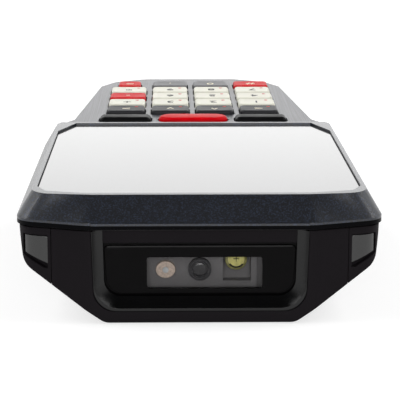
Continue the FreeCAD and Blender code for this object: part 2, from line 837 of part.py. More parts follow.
def lower_form(name, amount):
    """The outside of the rear housing, or the same form moved inwards for its hollow."""
    rail = extrude(
        name + "_plan", "top", inset(name + "_plan_outline", plan, f"dim.rail_inset + {amount}"),
        "at.rim_top + dim.parting",
    )
    rail.setExpression("Placement.Base.z", "-dim.parting - dim.overrun")
    shape = [
        ("dim.belly_half", MIDDLE),
        ("at.chine_half", "dim.chine_height"),
        ("dim.half_width - dim.rail_inset", HOUSING_TOP),
        ("dim.half_width - dim.rail_inset", ABOVE),
    ]
    heel = [
        (NOSE_FRONT, MIDDLE),
        ("at.body_length / 2 - dim.heel_run", MIDDLE),
        ("at.body_length / 2", "dim.heel_rise"),
        (BEHIND + " + dim.parting", "dim.heel_rise"),
        (BEHIND + " + dim.parting", ABOVE),
        (NOSE_FRONT, ABOVE),
    ]
    section_corners = outline(name + "_section_corners", "front", mirrored(shape), BEFORE)
    profile_corners = outline(name + "_profile_corners", "side", heel, "-dim.half_width")
    section = softened(name + "_section", section_corners, "dim.chine_round")
    profile = softened(name + "_profile", profile_corners, "dim.belly_round")
    if amount != MIDDLE:
        section = inset(name + "_section_inner", section, amount)
        profile = inset(name + "_profile_inner", profile, amount)
    walls = extrude(name + "_walls", "front", section, f"{BEHIND} - ({BEFORE})")
    sides = extrude(name + "_sides", "side", profile, "2 * dim.half_width")
    return common(name, rail, walls, sides)


def lower_outside():
    """The rear housing's outside up to the seam."""
    top = block(
        "below_seam", across(BESIDE), (BEFORE, BEHIND), ("-dim.parting", HOUSING_TOP)
    )
    return common("lower_outside", lower_form("lower_raw", MIDDLE), top)


def recess(name, side, margin, slot, near, thick):
    """A block in the corner's slanted facet: the recess itself, or the panel that lies in it."""
    half = f"{side} * (at.recess_half - ({margin}))"
    points = [
        (f"-({half})", f"at.recess_top - ({margin})"),
        (half, f"at.recess_top - ({margin})"),
        (half, f"at.recess_outer_low + ({slot})"),
        (f"-{side} * (at.recess_half - dim.recess_toe)", f"at.recess_low + ({slot})"),
        (f"-({half})", f"at.recess_low + ({slot})"),
    ]
    turn = "atan2(dim.corner_back - dim.brow_proud; at.corner_half - at.nose_half)"
    drawn = outline(name + "_outline", "front", points, near)
    solid = extrude(name, "front", drawn, thick)
    turned = doc.addObject("Part::Compound", name + "_turned")
    turned.Links = [solid]
    turned.Placement = Placement(Vector(), Rotation(Vector(0, 0, side), 1))
    turned.setExpression("Placement.Rotation.Angle", turn)
    turned.setExpression("Placement.Base.x", f"{side} * at.recess_offset")
    run = "(dim.corner_back - dim.brow_proud) / (at.corner_half - at.nose_half)"
    depth = f"dim.brow_proud + (at.recess_offset - at.nose_half) * {run}"
    turned.setExpression("Placement.Base.y", back(f"{depth} + dim.rail_inset / cos({turn})"))
    return turned


def frame_outline(name, margin, level):
    """The outline of the scan window's frame, widened by a margin."""
    points = [
        (f"at.frame_top_half + ({margin})", ABOVE),
        (f"at.frame_low_half + ({margin})", f"dim.frame_low - ({margin})"),
    ]
    return outline(name, "front", mirrored(points), level)


def window_outline(name, margin, top, level):
    """The outline of the opening in the frame, widened by a margin."""
    points = [
        (f"at.window_top_half + ({margin})", top),
        (f"at.window_low_half + ({margin})", f"at.window_low - ({margin})"),
    ]
    return outline(name, "front", mirrored(points), level)


def nose_cap(outside, hollow):
    """The cap at the scanning end, with the pocket for the window's frame and pane."""
    zone = block("nose_zone", across("at.nose_cap_half"), (BEFORE, NOSE_BACK), (BELOW, ABOVE))
    inside = block("nose_inside", across("dim.half_width"), (WALL_BACK, BEHIND), (BELOW, ABOVE))
    cap = cut("nose_whole", common("nose_block", outside, zone), common("nose_hollow", hollow, inside))
    pocket = frame_outline("frame_pocket_outline", "dim.fit_gap", BEFORE)
    soft = softened("frame_pocket_soft", pocket, "dim.frame_round")
    front = extrude("frame_pocket", "front", soft, f"{FRAME_BACK} - ({BEFORE})")
    pane = window_outline(
        "pane_pocket_outline", "dim.pane_lap + dim.fit_gap", "at.window_top + dim.fit_gap", FRAME_BACK
    )
    seat = extrude("pane_pocket", "front", pane, f"{PANE_BACK} + dim.pin_fit - ({FRAME_BACK})")
    light = block(
        "light_hole", across("at.light_half"), (FRAME_BACK, MIDDLE),
        ("at.light_low", "at.light_top"),
    )
    node("nose_cap", cut("nose_finished", cap, front, seat, light))


def scan_window():
    """The glossy frame with its sloping inner edge, and the pane behind it."""
    front = frame_outline("frame_outline", MIDDLE, NOSE_FRONT)
    soft = softened("frame_soft", front, "dim.frame_round")
    whole = extrude("frame_whole", "front", soft, "dim.frame_deep")
    wide = window_outline("bevel_wide", "dim.bevel", ABOVE, NOSE_FRONT + " - dim.fit_gap")
    narrow = window_outline("bevel_narrow", MIDDLE, ABOVE, FRAME_BACK + " + dim.fit_gap")
    bevel = doc.addObject("Part::Loft", "bevel_cut")
    bevel.Sections = [
        softened("bevel_front", wide, "dim.window_round"),
        softened("bevel_rear", narrow, "dim.window_round"),
    ]
    bevel.Solid = True
    bevel.Ruled = True
    levels = (BELOW, f"{HOUSING_TOP} - dim.fit_gap")
    below = block("frame_zone", across("dim.half_width"), (BEFORE, MIDDLE), levels)
    node("window_frame", cut("frame_finished", common("frame_trimmed", whole, below), bevel))
    pane = window_outline("pane_outline", "dim.pane_lap", "at.window_top", PANE_FRONT)
    node("scan_window", extrude("pane_solid", "front", pane, "dim.pane_thick"))


def screw_bosses():
    """The posts for the case screws, with the holes through them and the sinks for the heads."""
    posts = []
    holes = []
    for place, (x, y) in enumerate(SCREW_PLACES):
        name = f"housing_boss_{place}"
        posts.append(rod(name, "z", (x, y), "dim.boss_radius", BELOW, f"{HOUSING_TOP} - dim.fit_gap"))
        holes.append(rod(name + "_bore", "z", (x, y), "dim.screw_radius + dim.screw_gap", BELOW, ABOVE))
        sink = "dim.screw_head_radius + dim.screw_gap"
        top = "at.screw_head_low + dim.screw_head_thick"
        holes.append(rod(name + "_sink", "z", (x, y), sink, BELOW, top))
    return posts, holes


def battery_bay():
    """The walled tray for the pack, and the room that the pack, door and latch take in it."""
    tray = block(
        "bay_box", across("at.bay_half + dim.bay_wall"),
        between("at.bay_near", "at.bay_far + dim.bay_wall"), (BELOW, ROOF_TOP),
    )
    pack = block(
        "bay_room", across("at.bay_half"),
        between("at.bay_near + dim.bay_wall", "at.bay_far"), (BELOW, "dim.bay_ceiling"),
    )
    door = block(
        "door_room", across("at.bay_half"), between("at.bay_near", "at.bay_far"),
        (BELOW, "dim.door_low + dim.door_thick + dim.door_gap"),
    )
    latch = block(
        "latch_room", across("dim.latch_half + dim.fit_gap"),
        between("at.latch_near - dim.latch_travel - dim.door_gap", "at.bay_near + dim.wall"),
        (BELOW, "dim.wall + dim.fit_gap"),
    )
    return tray, [pack, door, latch]


def trigger_room():
    """The seat for the side guard and the slot for the trigger, in the left wall."""
    seat = block(
        "guard_seat_room", (f"-({BESIDE})", "-at.guard_seat"),
        between(
            "at.trigger_near - dim.guard_rim - dim.fit_gap",
            "at.trigger_far + dim.guard_rim + dim.fit_gap",
        ),
        (
            "at.trigger_low - dim.guard_edge - dim.fit_gap",
            "at.trigger_top + dim.guard_edge + dim.fit_gap",
        ),
    )
    return [seat, trigger_slot("housing_slot", "-at.trigger_back")]


def trigger_slot(name, inner):
    """The way through for the trigger, from outside to a place within."""
    return block(
        name, (f"-({BESIDE})", inner),
        between("at.trigger_near - dim.trigger_gap", "at.trigger_far + dim.trigger_gap"),
        ("at.trigger_low - dim.trigger_gap", "at.trigger_top + dim.trigger_gap"),
    )


def port_room():
    """The thicker wall at the tail, and the room in it for the port cover and the connector."""
    wall = block(
        "port_block", across("at.flap_half + dim.wall"),
        ("at.body_length / 2 - dim.port_block_long", BEHIND),
        ("at.flap_pivot - dim.port_block_drop", HOUSING_TOP),
    )
    flap = block(
        "flap_room", across("at.flap_half + dim.flap_gap"),
        ("at.body_length / 2 - dim.rail_inset - dim.flap_thick - 2 * dim.flap_sunk", BEHIND),
        ("at.flap_pivot - dim.flap_thick / 2 - dim.flap_gap", "at.flap_top + dim.flap_gap"),
    )
    socket = block(
        "port_hole", across("at.port_half + dim.fit_gap"),
        ("at.body_length / 2 - dim.port_hole_long", BEHIND),
        ("at.port_low - dim.fit_gap", "at.port_top + dim.fit_gap"),
    )
    return wall, [flap, socket]


def speaker_grille():
    """The row of slots below the speaker."""
    slots = []
    for place in range(-2, 3):
        middle = f"at.speaker_back + {place} * dim.grille_pitch"
        span = between(f"{middle} - dim.grille_slot / 2", f"{middle} + dim.grille_slot / 2")
        name = f"grille_slot_{place + 3}"
        slots.append(block(name, across("dim.grille_half"), span, (BELOW, "dim.wall + dim.fit_gap")))
    return slots


def door_pivots():
    """The two bosses that hold the ends of the battery door's pin."""
    axis = (back("at.hinge_back"), "dim.hinge_height")
    near = "dim.knuckle_half + dim.door_gap"
    far = "at.bay_half + dim.fit_gap"
    return [
        rod("left_door_boss", "x", axis, "dim.knuckle_radius", f"-({far})", f"-({near})"),
        rod("right_door_boss", "x", axis, "dim.knuckle_radius", near, far),
    ]


def rear_housing(outside, hollow):
    """The rear shell, open for the nose cap, battery, latch, speaker, trigger and tail port."""
    nose = block(
        "nose_room", across("at.nose_cap_half + dim.fit_gap"),
        (BEFORE, back("dim.nose_cap_deep + dim.fit_gap")), (BELOW, ABOVE),
    )
    posts, screw_holes = screw_bosses()
    tray, bay = battery_bay()
    wall, port = port_room()
    deep = "dim.overrun + dim.recess_deep"
    none = MIDDLE
    sockets = [
        recess("left_recess", -1, none, none, BELOW, deep),
        recess("right_recess", 1, none, none, BELOW, deep),
    ]
    inner = common("housing_inner", fuse("housing_added", tray, wall, *posts), outside)
    shell = fuse("housing_built", cut("housing_walls", outside, hollow), inner)
    tools = [nose, *screw_holes, *bay, *trigger_room(), *port, *speaker_grille(), *sockets]
    pivoted = fuse("housing_pivoted", cut("housing_opened", shell, *tools), *door_pivots())
    axis = (back("at.hinge_back"), "dim.hinge_height")
    bore = "dim.door_pin_radius + dim.pin_fit"
    door_bore = rod("door_pin_bore", "x", axis, bore, *across("at.bay_half - dim.pin_reach"))
    axis = (FLAP_AXIS, "at.flap_pivot")
    bore = "dim.flap_pin_radius + dim.pin_fit"
    flap_bore = rod("flap_pin_bore", "x", axis, bore, *across("at.flap_half + dim.pin_reach"))
    node("rear_housing", cut("housing_finished", pivoted, door_bore, flap_bore))


def latch_panels():
    """The glossy panels in the recesses of the two front corners."""
    for label, side in (("left", -1), ("right", 1)):
        near = "dim.recess_deep - dim.panel_thick"
        panel = recess(f"panel_{label}", side, "dim.panel_gap", "dim.panel_slot", near, "dim.panel_thick")
        node(f"{label}_latch_panel", panel)


def side_trigger():
    """The guard on the left flank, the red scan trigger in it and the switch behind."""
    bump = [
        ("-(at.guard_seat + dim.pin_fit)", back("at.trigger_near - dim.guard_rim")),
        ("-at.guard_face", back("at.trigger_near - dim.guard_edge")),
        ("-at.guard_face", back("at.trigger_far + dim.guard_edge")),
        ("-(at.guard_seat + dim.pin_fit)", back("at.trigger_far + dim.guard_rim")),
    ]
    low = "at.trigger_low - dim.guard_edge"
    high = "at.trigger_top + dim.guard_edge"
    whole = prism("guard_whole", "top", bump, low, high)
    slot = trigger_slot("guard_slot", MIDDLE)
    node("side_key_guard", cut("guard_finished", whole, slot))
    body = doc.addObject("PartDesign::Body", "trigger_body")
    span = (back("at.trigger_near"), back("at.trigger_far"))
    face = rectangle(span, ("at.trigger_low", "at.trigger_top"))
    cap = padded(body, "trigger_cap", "side", face, "-at.trigger_face", "-at.trigger_back")
    level = number("-at.trigger_face") + 1e-4

    def on_face(first, second):
        return max(first.x, second.x) < level

    eased(body, "trigger_edge", cap, "dim.key_edge", on_face)
    lip = rectangle(
        (back("at.trigger_near - dim.trigger_lip"), back("at.trigger_far + dim.trigger_lip")),
        ("at.trigger_low - dim.trigger_lip", "at.trigger_top + dim.trigger_lip"),
    )
    flange = "-(at.trigger_back + dim.trigger_flange)"
    padded(body, "trigger_flange_pad", "side", lip, flange, "-at.trigger_back")
    node("scan_trigger", body)
    middle = "(at.trigger_near + at.trigger_far) / 2"
    square = rectangle(
        ("-(at.trigger_back - dim.trigger_travel - dim.switch_gap)", "-(at.main_board_half - dim.wall)"),
        (back(f"{middle} - dim.switch_half"), back(f"{middle} + dim.switch_half")),
    )
    plate("trigger_switch", "top", square, f"{MAIN_TOP} + dim.pin_fit", f"{PLATE_LOW} - dim.inner_gap")


def inner_frame():
    """The metal plate between the display side and the main board, clear of posts and trigger."""
    edge = inset("mid_frame_outline", plan, "dim.rail_inset + dim.wall + 2 * dim.inner_gap")
    slab = extrude("mid_frame_slab", "top", edge, "dim.plate_thick")
    slab.setExpression("Placement.Base.z", "-dim.plate_drop - dim.plate_thick")
    area = block(
        "mid_frame_area", across("dim.half_width"),
        (back("at.engine_near"), "at.body_length / 2 - dim.port_block_long - dim.inner_gap"),
        ("dim.chine_height", "at.rim_top"),
    )
    around = "dim.boss_radius + dim.inner_gap"
    tools = [
        rod(f"mid_frame_post_{place}", "z", spot, around, "dim.chine_height", "at.rim_top")
        for place, spot in enumerate(SCREW_PLACES)
    ]
    tools.append(
        block(
            "mid_frame_notch", (f"-({BESIDE})", "-(at.trigger_back - 2 * dim.trigger_travel)"),
            (back("at.trigger_near - dim.guard_rim"), back("at.trigger_far + dim.guard_rim")),
            ("dim.chine_height", "at.rim_top"),
        )
    )
    node("mid_frame", cut("mid_frame_finished", common("mid_frame_whole", slab, area), *tools))


def electronics():
    """The main board and what is on it, the speaker, the motor and the antenna."""
    board = [
        ("at.main_board_half", back("at.main_board_near")),
        ("at.main_board_half", back("at.main_board_step")),
        ("at.main_board_tail_half", back("at.main_board_step")),
        ("at.main_board_tail_half", back("at.main_board_far")),
    ]
    low = f"{ROOF_TOP} + dim.board_seat"
    plate("main_board", "top", mirrored(board), low, MAIN_TOP)
    seat = f"{MAIN_TOP} + dim.pin_fit"
    can_span = (back("at.can_near"), back("at.can_far"))
    can = block("can_outside", across("dim.can_half"), can_span, (seat, f"{PLATE_LOW} - dim.inner_gap"))
    room = block(
        "can_room", across("dim.can_half - dim.can_wall"),
        (back("at.can_near + dim.can_wall"), back("at.can_far - dim.can_wall")),
        (ROOF_TOP, f"{PLATE_LOW} - dim.inner_gap - dim.can_wall"),
    )
    node("shield_can", cut("can_finished", can, room))
    cell = ("at.cell_offset", back("at.cell_back"))
    node("coin_cell", rod("cell_solid", "z", cell, "dim.cell_radius", seat, f"{seat} + dim.cell_thick"))
    motor = ("-at.motor_offset", f"{low} - dim.motor_radius - dim.fit_gap")
    span = (back("at.motor_back"), back("at.motor_back + dim.motor_long"))
    node("vibration_motor", rod("motor_solid", "y", motor, "dim.motor_radius", *span))
    floor = "dim.wall + dim.pin_fit"
    spot = (MIDDLE, back("at.speaker_back"))
    top = f"{floor} + dim.speaker_thick"
    node("speaker", rod("speaker_solid", "z", spot, "dim.speaker_radius", floor, top))
    strip = rectangle(
        across("dim.antenna_half"),
        (back("dim.brow_proud + dim.cover_wall + dim.inner_gap"), back("at.lcd_near - dim.inner_gap")),
    )
    roof = f"{LEDGE_LOW} - dim.lcd_gap"
    plate("antenna", "top", strip, f"{roof} - dim.antenna_thick", roof)


def scan_engine():
    """The engine block on its bracket, with the camera lens, aiming lens and light."""
    front = back("at.engine_near")
    chassis = block(
        "engine_block", across("at.engine_half"), (front, back("at.engine_far")),
        ("at.engine_low", "at.engine_top"),
    )
    reach = "dim.led_radius + dim.inner_gap"
    deep = back("at.engine_near + dim.optic_deep")
    well = block(
        "led_well", (f"dim.led_offset - ({reach})", f"dim.led_offset + {reach}"), (BEFORE, deep),
        (f"dim.led_height - ({reach})", f"dim.led_height + {reach}"),
    )
    node("scan_engine", cut("engine_finished", chassis, well))
    proud = back("at.engine_near - dim.optic_reach")
    floor = back("at.engine_near - dim.optic_reach / 2")
    lens = (MIDDLE, "dim.lens_height")
    glass = rod("lens_solid", "y", lens, "dim.lens_radius", proud, front)
    eye = rod("lens_eye", "y", lens, "dim.lens_radius / 2", BEFORE, floor)
    node("camera_lens", cut("lens_finished", glass, eye))
    aim = ("-dim.aimer_offset", "dim.lens_height")
    ring = rod("aimer_solid", "y", aim, "dim.aimer_radius", proud, front)
    hole = rod("aimer_eye", "y", aim, "dim.aimer_radius / 3", BEFORE, floor)
    node("aimer_lens", cut("aimer_finished", ring, hole))
    lamp = ("dim.led_offset", "dim.led_height")
    middle = back("at.engine_near + dim.optic_reach")
    stem = rod("led_stem", "y", lamp, "dim.led_radius", middle, deep)
    dome = doc.addObject("Part::Sphere", "led_dome")
    dome.setExpression("Radius", "dim.led_radius")
    for axis, place in zip("xyz", (lamp[0], middle, lamp[1])):
        dome.setExpression(f"Placement.Base.{axis}", place)
    near = block("led_front", across("dim.half_width"), (BEFORE, deep), (BELOW, ABOVE))
    node("illumination_led", common("led_finished", fuse("led_whole", stem, dome), near))
    span = between("dim.nose_cap_deep + dim.door_gap", "at.engine_far")
    foot = rectangle(across("at.engine_half"), span)
    plate("engine_bracket", "top", foot, "dim.wall + dim.pin_fit", "at.engine_low - dim.pin_fit")


def battery():
    """The pack in its bay, and the contacts at its near end."""
    body = doc.addObject("PartDesign::Body", "pack_body")
    area = rectangle(across("at.bay_half - dim.pack_gap"), between("at.pack_near", "at.pack_far"))
    pack = padded(body, "pack_pad", "top", area, "dim.pack_low", "dim.bay_ceiling - dim.board_seat")
    eased(body, "pack_corners", pack, "dim.wall", upright)
    node("battery_pack", body)
    span = between("at.bay_near + dim.bay_wall + dim.pin_fit", "at.pack_near - dim.fit_gap")
    spread = rectangle(across("dim.tongue_half"), span)
    plate("battery_contacts", "top", spread, "dim.contact_low", "dim.contact_top")


def battery_door():
    """The door below the pack, with its knuckle, and the pin that it turns on."""
    hinge = (back("at.hinge_back"), "dim.hinge_height")
    levels = ("dim.door_low", "dim.door_low + dim.door_thick")
    end = "at.hinge_back - dim.knuckle_radius - dim.door_gap - dim.fit_gap"
    wide = block(
        "door_plate", across("at.bay_half - dim.door_gap"),
        between("at.bay_near + dim.door_gap", end), levels,
    )
    root = back("at.bay_far - dim.hinge_root")
    arm = block("door_arm", across("dim.knuckle_half"), (root, hinge[0]), levels)
    knuckle = rod("door_knuckle", "x", hinge, "dim.knuckle_radius", *across("dim.knuckle_half"))
    bore = rod(
        "door_bore", "x", hinge, "dim.door_pin_radius + dim.pin_fit", *across("dim.half_width")
    )
    notch = block(
        "door_notch", across("dim.tongue_half + dim.door_gap"),
        (BEFORE, back("at.bay_near + dim.tongue_reach + dim.door_gap")), (BELOW, ABOVE),
    )
    node("battery_door", cut("door_finished", fuse("door_whole", wide, arm, knuckle), bore, notch))
    reach = "at.bay_half - dim.pin_reach - dim.fit_gap"
    node("door_pin", rod("door_pin_solid", "x", hinge, "dim.door_pin_radius", *across(reach)))


def battery_latch():
    """The latch that slides towards the head: a ribbed slide, its wings and its tongue."""
    stop = back("at.bay_near - dim.door_gap")
    slide = block(
        "latch_slide", across("dim.latch_half"), (back("at.latch_near"), stop),
        ("dim.latch_low", "dim.wall + dim.door_gap"),
    )
    wings = block(
        "latch_wings", across("dim.latch_half + dim.latch_flange"),
        (back("at.latch_near - dim.fit_gap"), stop),
        ("dim.wall + dim.fit_gap", "dim.wall + dim.latch_flange_thick"),
    )
    tongue = block(
        "latch_tongue", across("dim.tongue_half"),
        between("at.bay_near - dim.wall", "at.bay_near + dim.tongue_reach"),
        ("dim.latch_low", "dim.door_low + dim.door_thick - dim.fit_gap"),
    )
    grooves = []
    for place in range(3):
        start = f"at.latch_near + {place + 0.75} * dim.bay_wall"
        span = between(start, f"{start} + dim.bay_wall / 2")
        width = across("dim.latch_half - dim.wall")
        grooves.append(block(f"latch_groove_{place}", width, span, (BELOW, "2 * dim.latch_low")))
    node("battery_latch", cut("latch_finished", fuse("latch_whole", slide, wings, tongue), *grooves))


def tail_port():
    """The connector in the tail and the small hinged cover over it."""
    half = "dim.flap_thick / 2"
    leaf = block(
        "flap_leaf", across("at.flap_half"), (f"{FLAP_AXIS} - {half}", f"{FLAP_AXIS} + {half}"),
        ("at.flap_pivot", "at.flap_top"),
    )
    axis = (FLAP_AXIS, "at.flap_pivot")
    barrel = rod("flap_barrel", "x", axis, half, *across("at.flap_half"))
    bore = rod("flap_bore", "x", axis, "dim.flap_pin_radius + dim.pin_fit", *across("dim.half_width"))
    node("port_cover", cut("flap_finished", fuse("flap_whole", leaf, barrel), bore))
    reach = "at.flap_half + dim.pin_reach - dim.fit_gap"
    node("port_pin", rod("port_pin_solid", "x", axis, "dim.flap_pin_radius", *across(reach)))
    mouth = f"{FLAP_AXIS} - {half} - dim.door_gap"
    shell = block(
        "port_shell", across("at.port_half"), (f"{mouth} - dim.port_long", mouth),
        ("at.port_low", "at.port_top"),
    )
    room = block(
        "port_room", across("at.port_half - dim.port_wall"), (f"{mouth} - dim.port_room_long", BEHIND),
        ("at.port_low + dim.port_wall", "at.port_top - dim.port_wall"),
    )
    middle = "(at.port_low + at.port_top) / 2"
    blade = block(
        "port_blade", across("at.port_half - dim.port_blade_margin"),
        (f"{mouth} - dim.port_blade_long", f"{mouth} - dim.port_wall"),
        (f"{middle} - dim.port_wall / 2", f"{middle} + dim.port_wall / 2"),
    )
    node("dock_connector", fuse("port_finished", cut("port_hollow", shell, room), blade))


def fasteners():
    """The six case screws, and the seal that lies in the seam between cover and housing."""
    screws = []
    for place, (x, y) in enumerate(SCREW_PLACES):
        neck = "at.screw_head_low + dim.screw_head_thick"
        head = rod(f"screw_head_{place}", "z", (x, y), "dim.screw_head_radius", "at.screw_head_low", neck)
        shank = rod(
            f"screw_shank_{place}", "z", (x, y), "dim.screw_radius", "at.screw_head_low", SCREW_TOP
        )
        drive = rod(
            f"screw_drive_{place}", "z", (x, y), "dim.drive_radius", BELOW,
            "at.screw_head_low + dim.screw_head_thick / 2",
        )
        screws.append(cut(f"screw_{place}", fuse(f"screw_whole_{place}", head, shank), drive))
    node("case_screws", group("screw_group", *screws))
    outer = inset("seal_outer", plan, "dim.rail_inset + dim.seal_back")
    inner = inset("seal_inner", plan, "dim.rail_inset + dim.seal_back + dim.seal_width")
    thick = "dim.seam - 2 * dim.seal_gap"
    ring = cut(
        "seal_ring", extrude("seal_whole", "top", outer, thick), extrude("seal_hole", "top", inner, thick)
    )
    ring.setExpression("Placement.Base.z", "dim.seal_gap - dim.seam")
    node("case_seal", ring)


front_cover()
display()
keys()
keypad_layers()
OUTSIDE = lower_outside()
HOLLOW = lower_form("lower_hollow", "dim.wall")
nose_cap(OUTSIDE, HOLLOW)
scan_window()
rear_housing(OUTSIDE, HOLLOW)
latch_panels()
side_trigger()
inner_frame()
electronics()
scan_engine()
battery()
battery_door()
battery_latch()
tail_port()
fasteners()
doc.recompute()

for each in doc.Objects:
    if "Invalid" in each.State or "Error" in each.State:
        raise RuntimeError(f"{each.Label} did not build")
os.makedirs("parts", exist_ok=True)
for thing in NODES:
    shape = thing.Shape
    if shape.isNull() or not shape.isValid() or not shape.Solids:
        raise RuntimeError(f"{thing.Label} has no valid solid")
    shape.exportStep(f"parts/{thing.Label}.step")
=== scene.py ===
"""Looks of a portable barcode data terminal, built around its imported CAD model.

The terminal lies on its back. Its scanning head points along -Y, its tail along +Y and its
display along +Z. All sizes in the classes are in millimetres and all meshes are in metres.
"""

from __future__ import annotations

import json
import logging
import math
from collections.abc import Callable, Iterable, Sequence
from dataclasses import dataclass
from enum import Enum

import bmesh
import bpy
from mathutils import Matrix, Vector

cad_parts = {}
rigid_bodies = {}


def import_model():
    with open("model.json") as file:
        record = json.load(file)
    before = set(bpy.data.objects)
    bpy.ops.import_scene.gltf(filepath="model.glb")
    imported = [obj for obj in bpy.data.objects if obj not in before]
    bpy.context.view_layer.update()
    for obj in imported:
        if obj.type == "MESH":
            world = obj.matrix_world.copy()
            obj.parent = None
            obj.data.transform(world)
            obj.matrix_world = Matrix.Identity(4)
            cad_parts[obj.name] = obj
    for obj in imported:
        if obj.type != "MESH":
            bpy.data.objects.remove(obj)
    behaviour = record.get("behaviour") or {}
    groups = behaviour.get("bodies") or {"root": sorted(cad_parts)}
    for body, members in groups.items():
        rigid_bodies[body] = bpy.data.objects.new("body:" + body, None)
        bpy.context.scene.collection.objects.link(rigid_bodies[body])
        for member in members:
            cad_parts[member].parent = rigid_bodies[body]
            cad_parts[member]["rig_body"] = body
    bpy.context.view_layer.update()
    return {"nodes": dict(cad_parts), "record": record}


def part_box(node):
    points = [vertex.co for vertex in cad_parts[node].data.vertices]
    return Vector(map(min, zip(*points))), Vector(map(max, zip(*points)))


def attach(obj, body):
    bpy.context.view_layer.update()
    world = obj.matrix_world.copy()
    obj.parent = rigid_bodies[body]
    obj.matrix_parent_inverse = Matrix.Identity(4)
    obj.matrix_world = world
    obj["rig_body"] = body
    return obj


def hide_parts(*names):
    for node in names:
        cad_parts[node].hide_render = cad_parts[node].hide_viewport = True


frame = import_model()

Tree = bpy.types.NodeTree
Node = bpy.types.Node
Socket = bpy.types.NodeSocket
Shape = bmesh.types.BMesh

MM = 0.001
# Edges that turn by more than this stay sharp.
CREASE_DEG = 32.0
# How far down its side a dome reaches, and in how many steps.
DOME_DEG = 84.0
DOME_STEPS = 7
ROD_SIDES = 48
# Points closer than these, in metres, are one point.
SAME_SPOT = 1e-6
SAME_INK_SPOT = 1e-7
# How a finish's roughness varies over its surface.
GLOSS_SHARES = (0.92, 1.1)
LOG = logging.getLogger("terminal")
UP = Vector((0, 0, 1))
TO_HEAD = Vector((0, -1, 0))
TO_TAIL = Vector((0, 1, 0))


class Body(Enum):
    """The bodies that pieces ride on, apart from the keys."""

    CASE = "case"
    TRIGGER = "trigger"
    DOOR = "door"


class Axis(Enum):
    """The direction that an edge runs in."""

    Y = 1
    Z = 2


def linear(hex_colour: str) -> tuple[float, float, float, float]:
    """Turn an sRGB hex colour into linear light.

    Args:
        hex_colour: Six hex digits, such as "26282f".

    Returns:
        Red, green, blue and an alpha of one.
    """
    parts = [int(hex_colour[i : i + 2], 16) / 255 for i in (0, 2, 4)]
    red, green, blue = (c / 12.92 if c <= 0.04045 else ((c + 0.055) / 1.055) ** 2.4 for c in parts)
    return (red, green, blue, 1.0)


def feed(tree: Tree, node: Node, inputs: dict[str | int, object]) -> None:
    """Give sockets of a node their values, or link them to the sockets that feed them."""
    for key, value in inputs.items():
        if isinstance(value, Socket):
            tree.links.new(value, node.inputs[key])
        else:
            node.inputs[key].default_value = value


def add_node(
    tree: Tree,
    kind: str,
    settings: dict[str, object] | None = None,
    inputs: dict[str | int, object] | None = None,
) -> Node:
    """Add one shader node with its settings and its links.

    Args:
        tree: The node tree that gets the node.
        kind: The node's type without the word ShaderNode.
        settings: Properties of the node itself.
        inputs: For each socket, a value or the output socket that feeds it.

    Returns:
        The new node.
    """
    node = tree.nodes.new("ShaderNode" + kind)
    for name, value in (settings or {}).items():
        setattr(node, name, value)
    feed(tree, node, inputs or {})
    return node


def shaded(tree: Tree, noise: Socket, colour: str, stops: Sequence[tuple[float, float]]) -> Socket:
    """Return a colour that a noise makes darker and lighter.

    Args:
        tree: The node tree that gets the ramp.
        noise: A value from nought to one.
        colour: The colour's hex digits.
        stops: For the dark and the light end, its place on the ramp and its share of the colour.
    """
    ramp = add_node(tree, "ValToRGB", None, {0: noise})
    for place, (along_ramp, share) in enumerate(stops):
        stop = ramp.color_ramp.elements[place]
        stop.position = along_ramp
        stop.color = (*(min(1.0, c * share) for c in linear(colour)[:3]), 1.0)
    return ramp.outputs[0]


